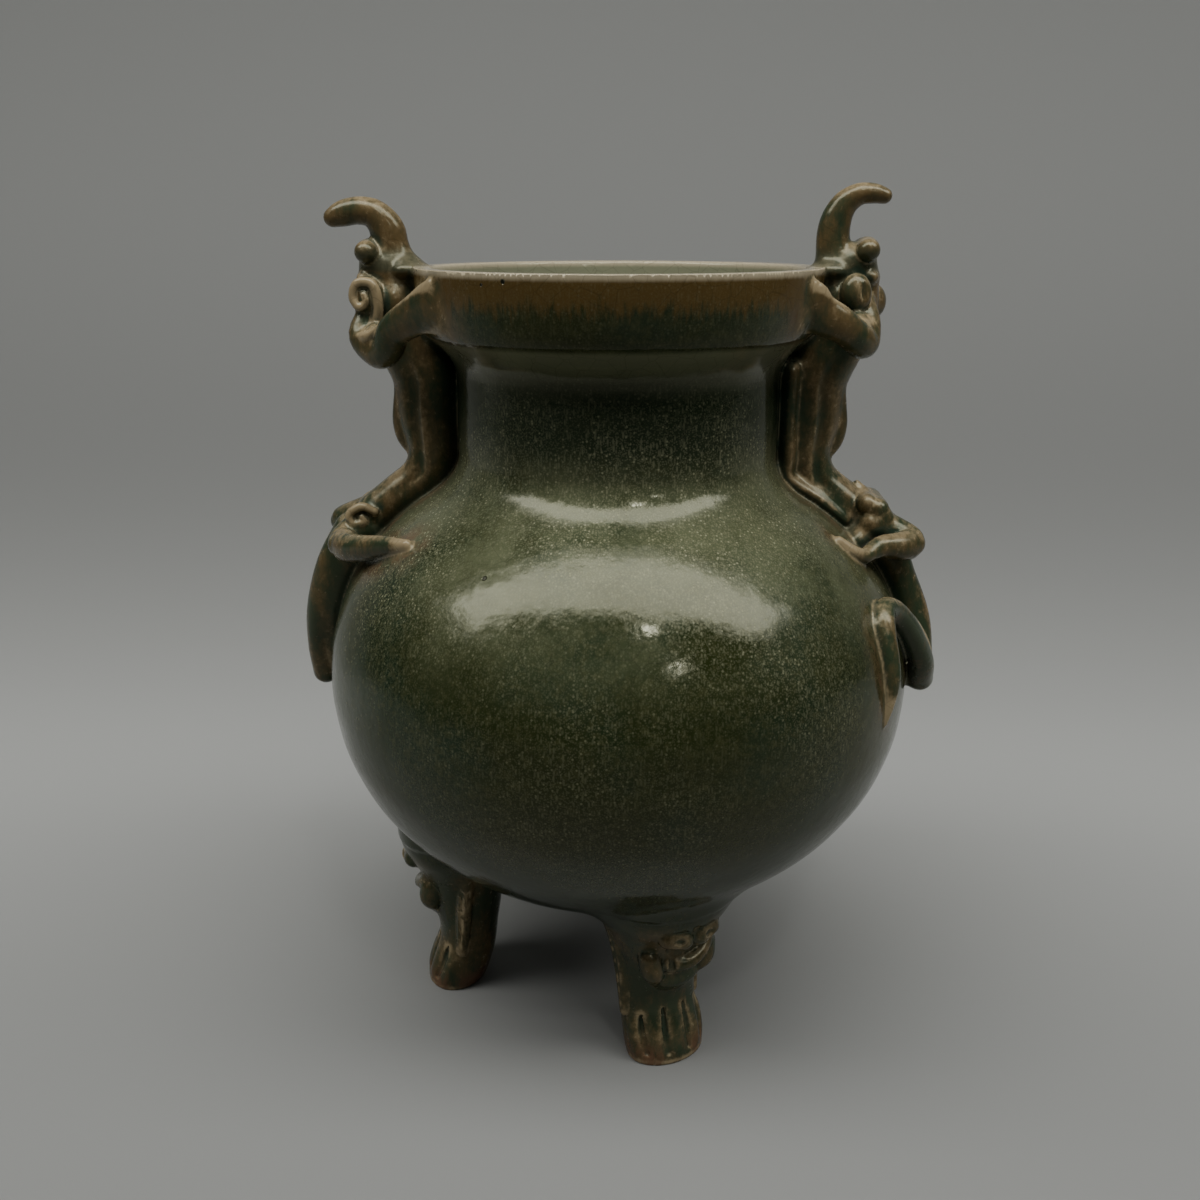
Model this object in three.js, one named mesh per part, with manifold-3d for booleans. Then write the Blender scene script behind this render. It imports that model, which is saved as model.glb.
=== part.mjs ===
// Tripod censer in celadon glaze: a hollow globular pot with a straight neck and a banded mouth,
// two climbing dragons as handles and three legs with beast masks, all fired as one piece.
// Millimetres, +Z up. The origin is on the ground, on the axis of the pot.

import * as THREE from 'three';
import { mergeVertices } from 'three/addons/utils/BufferGeometryUtils.js';
import Module from 'manifold-3d';

const wasm = await Module();
wasm.setup();

// Pot
const RIM_HEIGHT = 224;          // top of the lip above the ground
const MOUTH_RADIUS = 56;         // outside of the lip
const BAND_HEIGHT = 17.5;        // upright band round the mouth
const BAND_TAPER = 2.4;          // how much narrower the band is at its lower edge
const BEVEL_HEIGHT = 6.6;        // sloping underside between the band and the neck
const LIP_THICKNESS = 4.6;       // wall of the banded mouth
const NECK_RADIUS = 45.5;        // outside of the neck
const BELLY_RADIUS = 85;         // outside of the belly at its widest
const BELLY_HEIGHT = 110;        // height of that widest line
const SHOULDER_RISE = 66.7;      // half height of the ellipse that the shoulder follows
const UNDERSIDE_HEIGHT = 32.2;   // lowest point of the belly above the ground
const NECK_FILLET = 7;           // soft turn between neck and shoulder
const WALL = 6;                  // thickness of neck and belly

// Legs
const LEG_COUNT = 3;
const LEG_RING_RADIUS = 41.5;    // from the middle of the ring of legs to each leg
const LEG_RING_SHIFT = -8;       // the ring sits off the pot's axis, as it was luted on by hand,
const LEG_RING_TURN = 3;         // and is turned by these degrees against the handles
const LEG_WIDTH = 23.6;          // across the waist of a leg
const LEG_DEPTH = 19.5;          // from front to back of the waist
const PAW_REACH = 2.6;           // how far the toes stand forward of the waist
const SNOUT_REACH = 10;          // how far the mask's snout stands forward of the waist
const TOE_COUNT = 5;
const TOE_RADIUS = 2.5;

// Dragon handles
const BODY_WIDTH = 15;           // round body, across
const BODY_DEPTH = 18;           // round body, from the neck outwards
const ARM_RADIUS = 4;
const PAW_SPREAD = 29;           // from the middle of the dragon round the rim to each forepaw
const HIND_SPREAD = 30;          // the same for the toes of the hind legs
const LIMB_SKEW = 4;             // forepaws and toes sit a little round to one side
const TAIL_RADIUS = 4.3;
const RIGHT_HORN_RISE = 22.2;    // top of each horn above the lip,
const LEFT_HORN_RISE = 18.6;
const RIGHT_HORN_REACH = 15;     // how far out beyond the lip it curls,
const LEFT_HORN_REACH = 22;
const RIGHT_HORN_GIRTH = 3.1;    // and its thickness
const LEFT_HORN_GIRTH = 3.7;
const RIGHT_TAIL_DROP = 2;       // lowest bend of each tail below the belly's widest line,
const LEFT_TAIL_DROP = 10.5;
const RIGHT_TAIL_SAG = -0.8;      // and how much further it hangs off the belly
const LEFT_TAIL_SAG = 2.6;

const DRAGONS = [
  {
    turn: 0,
    hornRise: RIGHT_HORN_RISE,
    hornReach: RIGHT_HORN_REACH,
    hornGirth: RIGHT_HORN_GIRTH,
    tailDrop: RIGHT_TAIL_DROP,
    tailSag: RIGHT_TAIL_SAG,
  },
  {
    turn: Math.PI,
    hornRise: LEFT_HORN_RISE,
    hornReach: LEFT_HORN_REACH,
    hornGirth: LEFT_HORN_GIRTH,
    tailDrop: LEFT_TAIL_DROP,
    tailSag: LEFT_TAIL_SAG,
  },
];

// How finely the round forms are faceted
const POT_SIDES = 40;
const LIMB_SIDES = 6;

const GLAZE = new THREE.MeshStandardMaterial({ color: 0x56623f, roughness: 0.22, metalness: 0 });

const NECK_TOP = RIM_HEIGHT - BAND_HEIGHT - BEVEL_HEIGHT;
const BAND_FOOT_RADIUS = MOUTH_RADIUS - BAND_TAPER;

// Radius of an upright ellipse at a height above its middle.
function ellipseRadius(radius, rise, height) {
  return radius * Math.sqrt(Math.max(0, 1 - (height / rise) ** 2));
}

// Height above the widest line at which the shoulder meets a neck of the given radius.
function shoulderTop(bellyRadius, rise, neckRadius) {
  return rise * Math.sqrt(1 - (neckRadius / bellyRadius) ** 2);
}

const NECK_FOOT = BELLY_HEIGHT + shoulderTop(BELLY_RADIUS, SHOULDER_RISE, NECK_RADIUS);

// Lower half of the belly: full below the widest line, then drawn in to a shallow point.
function lowerBelly(radius, bottom) {
  const drop = BELLY_HEIGHT - bottom;
  return new THREE.CubicBezierCurve(
    new THREE.Vector2(0, bottom),
    new THREE.Vector2(radius * 0.45, bottom + drop * 0.1),
    new THREE.Vector2(radius, BELLY_HEIGHT - drop * 0.61),
    new THREE.Vector2(radius, BELLY_HEIGHT),
  );
}

// Shoulder and neck: an ellipse from the widest line, a soft turn, then the neck.
function shoulder(radius, rise, neckRadius, steps) {
  const neckFoot = BELLY_HEIGHT + shoulderTop(radius, rise, neckRadius);
  const turnStart = neckFoot - NECK_FILLET * 0.6;
  const points = [];
  for (let step = 1; step <= steps; step += 1) {
    const angle = (step / steps) * Math.asin((turnStart - BELLY_HEIGHT) / rise);
    points.push(new THREE.Vector2(radius * Math.cos(angle), BELLY_HEIGHT + rise * Math.sin(angle)));
  }
  const turn = new THREE.QuadraticBezierCurve(
    points[points.length - 1],
    new THREE.Vector2(neckRadius, neckFoot),
    new THREE.Vector2(neckRadius, neckFoot + NECK_FILLET),
  );
  return points.concat(turn.getPoints(3).slice(1));
}

// Outer wall of the pot at a height, for placing what sits on it.
function wallRadius(height) {
  if (height > RIM_HEIGHT - BAND_HEIGHT) {
    const share = Math.min(1, (height - RIM_HEIGHT + BAND_HEIGHT) / BAND_HEIGHT);
    return BAND_FOOT_RADIUS + BAND_TAPER * share;
  }
  if (height > NECK_TOP) {
    return NECK_RADIUS + (BAND_FOOT_RADIUS - NECK_RADIUS) * (height - NECK_TOP) / BEVEL_HEIGHT;
  }
  if (height > BELLY_HEIGHT) {
    return Math.max(NECK_RADIUS, ellipseRadius(BELLY_RADIUS, SHOULDER_RISE, height - BELLY_HEIGHT));
  }
  return ellipseRadius(BELLY_RADIUS, BELLY_HEIGHT - UNDERSIDE_HEIGHT, BELLY_HEIGHT - height);
}

// A closed geometry as a solid that can be joined and cut.
function solidOf(geometry) {
  const bare = geometry.clone();
  bare.deleteAttribute('normal');
  bare.deleteAttribute('uv');
  const merged = mergeVertices(bare, 1e-4);
  const triangles = [];
  for (let k = 0; k < merged.index.count; k += 3) {
    const [a, b, c] = [merged.index.getX(k), merged.index.getX(k + 1), merged.index.getX(k + 2)];
    if (a !== b && b !== c && c !== a) triangles.push(a, b, c);
  }
  return new wasm.Manifold(new wasm.Mesh({
    numProp: 3,
    vertProperties: new Float32Array(merged.attributes.position.array),
    triVerts: new Uint32Array(triangles),
  }));
}

// A solid back as a geometry with flat facets.
function geometryOf(solid) {
  const mesh = solid.getMesh();
  const geometry = new THREE.BufferGeometry();
  geometry.setAttribute('position', new THREE.BufferAttribute(mesh.vertProperties, 3));
  geometry.setIndex(new THREE.BufferAttribute(mesh.triVerts, 1));
  geometry.computeVertexNormals();
  return geometry;
}

// A solid of revolution about the pot's axis from an outline that starts and ends on that axis.
function turned(outline) {
  const geometry = new THREE.LatheGeometry(outline, POT_SIDES);
  geometry.rotateX(Math.PI / 2);
  return solidOf(geometry);
}

// The outside of the pot, filled.
function potOutside() {
  return turned([
    ...lowerBelly(BELLY_RADIUS, UNDERSIDE_HEIGHT).getPoints(8),
    ...shoulder(BELLY_RADIUS, SHOULDER_RISE, NECK_RADIUS, 6),
    new THREE.Vector2(NECK_RADIUS, NECK_TOP),
    new THREE.Vector2(BAND_FOOT_RADIUS, NECK_TOP + BEVEL_HEIGHT),
    new THREE.Vector2(MOUTH_RADIUS, RIM_HEIGHT - LIP_THICKNESS * 0.3),
    new THREE.Vector2(MOUTH_RADIUS - LIP_THICKNESS * 0.3, RIM_HEIGHT),
    new THREE.Vector2(0, RIM_HEIGHT),
  ]);
}

// The hollow: belly, neck and the wider space inside the banded mouth, open at the top.
function potInside() {
  const neck = NECK_RADIUS - WALL;
  const mouth = MOUTH_RADIUS - LIP_THICKNESS;
  return turned([
    ...lowerBelly(BELLY_RADIUS - WALL, UNDERSIDE_HEIGHT + WALL).getPoints(4),
    ...shoulder(BELLY_RADIUS - WALL, SHOULDER_RISE - WALL, neck, 4),
    new THREE.Vector2(neck, NECK_TOP + LIP_THICKNESS * 0.5),
    new THREE.Vector2(mouth - BAND_TAPER, NECK_TOP + BEVEL_HEIGHT + LIP_THICKNESS * 0.5),
    new THREE.Vector2(mouth, RIM_HEIGHT - LIP_THICKNESS * 0.3),
    new THREE.Vector2(mouth + LIP_THICKNESS * 0.2, RIM_HEIGHT + 1),
    new THREE.Vector2(0, RIM_HEIGHT + 1),
  ]);
}

// A limb: a rod bent along a curve through joints. Each joint is a place and its two girths,
// the half width across and the half depth square to it, which may be the same.
function limb(joints, sides = LIMB_SIDES, ringsPerJoint = 2) {
  const curve = new THREE.CatmullRomCurve3(joints.map((joint) => joint.place), false, 'centripetal');
  const rings = (joints.length - 1) * ringsPerJoint;
  const cap = 0.6;
  const outline = [new THREE.Vector2(0, -cap)];
  for (let ring = 0; ring <= rings; ring += 1) {
    outline.push(new THREE.Vector2(1, ring / rings));
  }
  outline.push(new THREE.Vector2(0, 1 + cap));
  const rod = new THREE.LatheGeometry(outline, sides);
  const spots = rod.attributes.position;
  const spot = new THREE.Vector3();
  for (let k = 0; k < spots.count; k += 1) {
    spot.fromBufferAttribute(spots, k);
    const share = THREE.MathUtils.clamp(spot.y, 0, 1);
    const beyond = spot.y - share;
    const [wide, deep] = girthsAt(joints, share);
    const along = curve.getTangent(share);
    const across = new THREE.Vector3(0, 1, 0).addScaledVector(along, -along.y).normalize();
    const outwards = across.clone().cross(along);
    const bent = curve.getPoint(share)
      .addScaledVector(across, spot.x * wide)
      .addScaledVector(outwards, spot.z * deep)
      .addScaledVector(along, beyond * Math.min(wide, deep));
    spots.setXYZ(k, bent.x, bent.y, bent.z);
  }
  return solidOf(rod);
}

// Girths of a limb at a share of its length, between those of its joints.
function girthsAt(joints, share) {
  const reach = share * (joints.length - 1);
  const from = Math.min(Math.floor(reach), joints.length - 2);
  const blend = reach - from;
  const mix = (name) => THREE.MathUtils.lerp(joints[from][name], joints[from + 1][name], blend);
  return [mix('wide'), mix('deep')];
}

function joint(place, wide, deep = wide) {
  return { place, wide, deep };
}

// A rounded lump, such as a brow or a cheek, with its three half sizes.
function lump(place, sizes, sides = 6, rows = 4) {
  const ball = new THREE.SphereGeometry(1, sides, rows);
  ball.scale(...sizes);
  ball.translate(place.x, place.y, place.z);
  return solidOf(ball);
}

// Places on a dragon are given by its climb up the pot, 0 at the widest line, 1 at the foot of the
// neck, 2 at its top and 3 at the lip, then by the distance out from the wall and round it.
const CLIMB_HEIGHTS = [BELLY_HEIGHT, NECK_FOOT, NECK_TOP, RIM_HEIGHT];

function onPot(climb, out, round = 0) {
  const step = THREE.MathUtils.clamp(Math.floor(climb), 0, CLIMB_HEIGHTS.length - 2);
  const height = THREE.MathUtils.lerp(CLIMB_HEIGHTS[step], CLIMB_HEIGHTS[step + 1], climb - step);
  const reach = wallRadius(height) + out;
  const angle = round / reach;
  return new THREE.Vector3(reach * Math.cos(angle), reach * Math.sin(angle), height);
}

// The round body from the head down the neck and over the shoulder to the haunch.
function dragonBody() {
  const wide = BODY_WIDTH / 2;
  const deep = BODY_DEPTH / 2;
  return limb([
    joint(onPot(2.85, 9.5), wide * 0.8, deep * 0.66),
    joint(onPot(2.5, 10.5), wide * 0.86, deep * 0.7),
    joint(onPot(2.1, 12), wide * 0.95, deep * 0.85),
    joint(onPot(1.82, 9.4), wide, deep),
    joint(onPot(1.5, 8.4), wide, deep),
    joint(onPot(1.2, 7.4), wide * 0.96, deep * 0.84),
    joint(onPot(0.98, 9), wide * 0.92, deep * 0.76),
    joint(onPot(0.88, 7), wide * 0.92, deep * 0.7),
    joint(onPot(0.78, 7.5), wide * 0.95, deep * 0.68),
  ], 8, 1);
}

// The seat of the head and shoulders against the band of the mouth.
function dragonSeat() {
  const wide = BODY_WIDTH / 2;
  const deep = BODY_DEPTH / 2;
  return limb([
    joint(onPot(2.92, 3.6), wide * 0.66, deep * 0.5),
    joint(onPot(2.5, 4.4), wide * 0.75, deep * 0.55),
    joint(onPot(2.1, 6), wide * 0.85, deep * 0.6),
  ], 6, 1);
}

// The strip of mane down the dragon's back.
function dragonMane() {
  return limb([
    joint(onPot(1.95, 17.4), 2.4, 2.8),
    joint(onPot(1.72, 16.2), 2.6, 3),
    joint(onPot(1.44, 16), 2.6, 3),
    joint(onPot(1.2, 14.8), 2.2, 2.4),
  ], 6, 1);
}

// The horn rises over the lip and curls outwards.
function dragonHorn({ hornRise, hornReach, hornGirth }) {
  const top = RIM_HEIGHT + hornRise - hornGirth;
  const root = wallRadius(RIM_HEIGHT);
  const at = (out, height) => new THREE.Vector3(root + out, 0, height);
  return limb([
    joint(at(7, RIM_HEIGHT - 2), hornGirth * 1.5, hornGirth * 1.9),
    joint(at(4.6, RIM_HEIGHT + hornRise * 0.3), hornGirth * 1.35, hornGirth * 1.45),
    joint(at(5.4, RIM_HEIGHT + hornRise * 0.62), hornGirth * 1.25, hornGirth * 1.1),
    joint(at(5.4 + hornReach * 0.3, top), hornGirth * 1.15, hornGirth),
    joint(at(2 + hornReach * 0.85, top - hornGirth * 0.1), hornGirth, hornGirth * 0.72),
    joint(at(2 + hornReach, top - hornReach * 0.05), hornGirth * 0.6, hornGirth * 0.5),
  ], 7, 1);
}

// Rolled brow across the head, and the scrolled cheek on each side of it.
function dragonHead() {
  const roll = new THREE.CapsuleGeometry(2.7, 11, 2, 6);
  const rollPlace = onPot(3.19, 13.6);
  roll.translate(rollPlace.x, rollPlace.y, rollPlace.z);
  const parts = [solidOf(roll), lump(onPot(2.98, 11.4), [5.6, 5.2, 5.6], 7, 4)];
  for (const side of [-1, 1]) {
    parts.push(lump(onPot(2.65, 13.4, side * 8), [4.3, 3.6, 5.3]));
  }
  return parts;
}

// Upper arm, elbow and forearm, with the paw on the band of the mouth.
function dragonArm(side) {
  return limb([
    joint(onPot(2.45, 11.5, side * 5), ARM_RADIUS),
    joint(onPot(2.16, 18, side * 13), ARM_RADIUS * 1.22),
    joint(onPot(2.42, 8.4, side * 20), ARM_RADIUS * 0.96),
    joint(onPot(2.8, 1.2, side * PAW_SPREAD + LIMB_SKEW), ARM_RADIUS * 0.82),
  ]);
}

// Thigh, knee and shank, with the toes on the shoulder of the pot.
function dragonHindLeg(side) {
  return limb([
    joint(onPot(0.78, 9.5, side * 4), ARM_RADIUS * 1.3),
    joint(onPot(0.71, 13, side * 11), ARM_RADIUS * 1.16),
    joint(onPot(0.71, 6, side * 20 + LIMB_SKEW), ARM_RADIUS * 0.95),
    joint(onPot(0.79, 0.8, side * HIND_SPREAD + LIMB_SKEW), ARM_RADIUS * 0.5),
  ], 5);
}

// The haunch with its pointed tuft of hair.
function dragonHaunch() {
  return [
    lump(onPot(0.8, 9.6), [7, BODY_WIDTH * 0.56, 6.2], 7, 4),
    limb([
      joint(onPot(0.86, 9), 3.6, 3),
      joint(onPot(0.94, 14), 1.6, 1.2),
    ], 6, 1),
  ];
}

// The tail runs down over the belly to a blunt corner, folds back on itself and ends in a small
// loop to one side.
function dragonTail({ tailDrop, tailSag }) {
  const girth = TAIL_RADIUS;
  const corner = -tailDrop / (NECK_FOOT - BELLY_HEIGHT);
  return [
    limb([
      joint(onPot(0.72, 8), girth * 1.2),
      joint(onPot(0.6, 7 + tailSag * 0.3), girth * 1.12),
      joint(onPot(0.46, 5.6 + tailSag * 0.7), girth * 1.06),
      joint(onPot(0.25, 4.6 + tailSag, -3), girth),
      joint(onPot(corner, 5.4 + tailSag, -8), girth),
    ], LIMB_SIDES, 1),
    limb([
      joint(onPot(0.68, 3.5), girth, girth * 1.3),
      joint(onPot(0.4, 2.5), girth * 0.7, girth),
      joint(onPot(0.1, 2.5 + tailSag * 0.4, -4), girth * 0.6, girth),
    ], LIMB_SIDES, 1),
    limb([
      joint(onPot(corner, 4.6 + tailSag * 0.7, -11), girth),
      joint(onPot(0.12, 4.6, -17), girth * 0.92),
      joint(onPot(0.34, 3.6, -22.5), girth * 0.85),
      joint(onPot(0.51, 2.4, -28), girth * 0.8),
      joint(onPot(0.54, 2, -35.5), girth * 0.76),
      joint(onPot(0.42, 1.8, -41), girth * 0.74),
      joint(onPot(0.2, 1.4, -44.5), girth * 0.68),
      joint(onPot(0, 0.6, -45), girth * 0.4),
    ], LIMB_SIDES, 1),
  ];
}

function dragonParts(dragon) {
  const parts = [
    dragonBody(),
    dragonSeat(),
    dragonMane(),
    dragonHorn(dragon),
    ...dragonTail(dragon),
    ...dragonHead(),
    ...dragonHaunch(),
  ];
  for (const side of [-1, 1]) {
    parts.push(dragonArm(side), dragonHindLeg(side));
  }
  const degrees = THREE.MathUtils.radToDeg(dragon.turn);
  return parts.map((part) => part.rotate([0, 0, degrees]));
}

// Places on a leg: out from the middle of the ring of legs, across the leg, and up.
function onLeg(out, across, height) {
  return new THREE.Vector3(LEG_RING_RADIUS + out, across, height);
}

// The trunk of a leg from below its sole to well inside the belly's wall.
function legTrunk() {
  const wide = LEG_WIDTH / 2;
  const deep = LEG_DEPTH / 2;
  const seat = UNDERSIDE_HEIGHT;
  return limb([
    joint(onLeg(PAW_REACH * 0.3, 0, -4), wide * 0.9, deep * 0.92),
    joint(onLeg(PAW_REACH * 0.25, 0, seat * 0.12), wide * 0.98, deep),
    joint(onLeg(-PAW_REACH * 0.4, 0, seat * 0.5), wide, deep * 0.98),
    joint(onLeg(-PAW_REACH * 0.4, 0, seat * 0.8), wide * 1.04, deep * 1.02),
    joint(onLeg(0, 0, seat * 1.15), wide * 1.2, deep * 1.25),
    joint(onLeg(0, 0, seat * 1.5), wide * 1.6, deep * 1.6),
  ], 12, 1);
}

// Five toes round the front of the paw.
function legToes() {
  const toes = [];
  for (let toe = 0; toe < TOE_COUNT; toe += 1) {
    const angle = (toe / (TOE_COUNT - 1) - 0.5) * 2.1;
    const fan = (reach, height) => onLeg(
      (LEG_DEPTH / 2 + reach) * Math.cos(angle),
      (LEG_WIDTH / 2 + reach * 0.6) * Math.sin(angle),
      height,
    );
    toes.push(limb([
      joint(fan(-3.4, UNDERSIDE_HEIGHT * 0.52), TOE_RADIUS * 0.7),
      joint(fan(PAW_REACH - TOE_RADIUS * 0.8, UNDERSIDE_HEIGHT * 0.28), TOE_RADIUS * 0.95),
      joint(fan(PAW_REACH - TOE_RADIUS * 0.7, -1), TOE_RADIUS * 0.9),
    ], 5, 1));
  }
  return toes;
}

// The beast mask: snout, brows and cheeks, and a strip of fur down each side of the leg.
function legMask() {
  const front = LEG_DEPTH / 2;
  const seat = UNDERSIDE_HEIGHT;
  const parts = [
    limb([
      joint(onLeg(front * 0.3, 0, seat * 1.3), 8, 6),
      joint(onLeg(front + SNOUT_REACH * 0.4, 0, seat * 1.22), 6.4, 5),
      joint(onLeg(front + SNOUT_REACH - 3, 0, seat * 1.12), 5.2, 2.8),
    ], 7, 1),
    lump(onLeg(front + 2.6, 0, seat * 0.92), [5, 7.6, 3]),
  ];
  for (const side of [-1, 1]) {
    parts.push(lump(onLeg(front + 3.4, side * 7, seat * 1.42), [5.4, 4.6, 3.6]));
    parts.push(lump(onLeg(front, side * 8.8, seat * 1.06), [5, 4, 5.4]));
    parts.push(limb([
      joint(onLeg(-front * 0.2, side * LEG_WIDTH * 0.54, seat * 1.35), 3.2),
      joint(onLeg(-front * 0.1, side * LEG_WIDTH * 0.49, seat * 0.95), 2.4),
      joint(onLeg(0, side * LEG_WIDTH * 0.47, seat * 0.58), 1.7),
    ], 5, 1));
  }
  return parts;
}

function legParts(index) {
  const parts = [legTrunk(), ...legToes(), ...legMask()];
  const degrees = 180 + LEG_RING_TURN + (360 / LEG_COUNT) * index;
  return parts.map((part) => part.rotate([0, 0, degrees]).translate([LEG_RING_SHIFT, 0, 0]));
}

// Everything below the ground, to cut the soles flat.
function ground() {
  const size = 4 * (BELLY_RADIUS + MOUTH_RADIUS);
  const slab = new THREE.BoxGeometry(size, size, RIM_HEIGHT);
  slab.translate(0, 0, -RIM_HEIGHT / 2);
  return solidOf(slab);
}

function censerSolid() {
  let whole = potOutside();
  for (const dragon of DRAGONS) {
    for (const part of dragonParts(dragon)) whole = whole.add(part);
  }
  for (let index = 0; index < LEG_COUNT; index += 1) {
    for (const part of legParts(index)) whole = whole.add(part);
  }
  return whole.subtract(potInside()).subtract(ground());
}

const censer = new THREE.Mesh(geometryOf(censerSolid()), GLAZE);
censer.name = 'censer';

const model = new THREE.Group();
model.add(censer);

export default model;
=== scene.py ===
import logging
import math
from dataclasses import dataclass, field
from enum import Enum
from typing import Union

import bpy
import numpy as np
from mathutils import Matrix, Vector


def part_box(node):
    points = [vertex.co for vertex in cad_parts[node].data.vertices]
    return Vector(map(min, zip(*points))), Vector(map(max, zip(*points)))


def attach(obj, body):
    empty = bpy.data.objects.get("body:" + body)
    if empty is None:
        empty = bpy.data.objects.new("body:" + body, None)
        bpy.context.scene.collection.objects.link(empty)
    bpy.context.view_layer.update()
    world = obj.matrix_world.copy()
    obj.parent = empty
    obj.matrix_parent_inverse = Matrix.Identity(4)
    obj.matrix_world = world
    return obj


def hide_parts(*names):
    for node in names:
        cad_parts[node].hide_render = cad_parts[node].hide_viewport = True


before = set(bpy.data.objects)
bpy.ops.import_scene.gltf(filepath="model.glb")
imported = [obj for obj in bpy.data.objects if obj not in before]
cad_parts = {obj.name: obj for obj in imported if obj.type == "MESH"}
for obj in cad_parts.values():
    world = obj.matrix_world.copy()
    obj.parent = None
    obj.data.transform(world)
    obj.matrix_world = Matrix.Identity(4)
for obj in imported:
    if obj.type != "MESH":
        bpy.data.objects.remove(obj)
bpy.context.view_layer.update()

LOG = logging.getLogger("censer")
MM = 0.001        # one millimetre in metres
FAR = 1e3         # further than any place in the scene, in millimetres
SKIRT = 3.5       # room round a form's box inside which its distance is worked out
SMALL = 1e-6      # keeps a divisor away from nought
UP = np.array([0.0, 0.0, 1.0])

Spot = tuple[float, float, float]
Colour = tuple[float, float, float]
Knot = tuple[float, ...]
Socket = bpy.types.NodeSocket
Number = Union[bpy.types.NodeSocket, float]
Tone = Union[bpy.types.NodeSocket, Colour]


class Side(Enum):
    """Which way round the pot a limb of a dragon or a half of a mask lies."""

    CLOCKWISE = -1
    COUNTER = 1


class Detail(Enum):
    """How fine the mesh is: size of a grid cell in millimetres and number of triangles."""

    QUICK = (1.3, 110000)
    FULL = (0.7, 196000)


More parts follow.
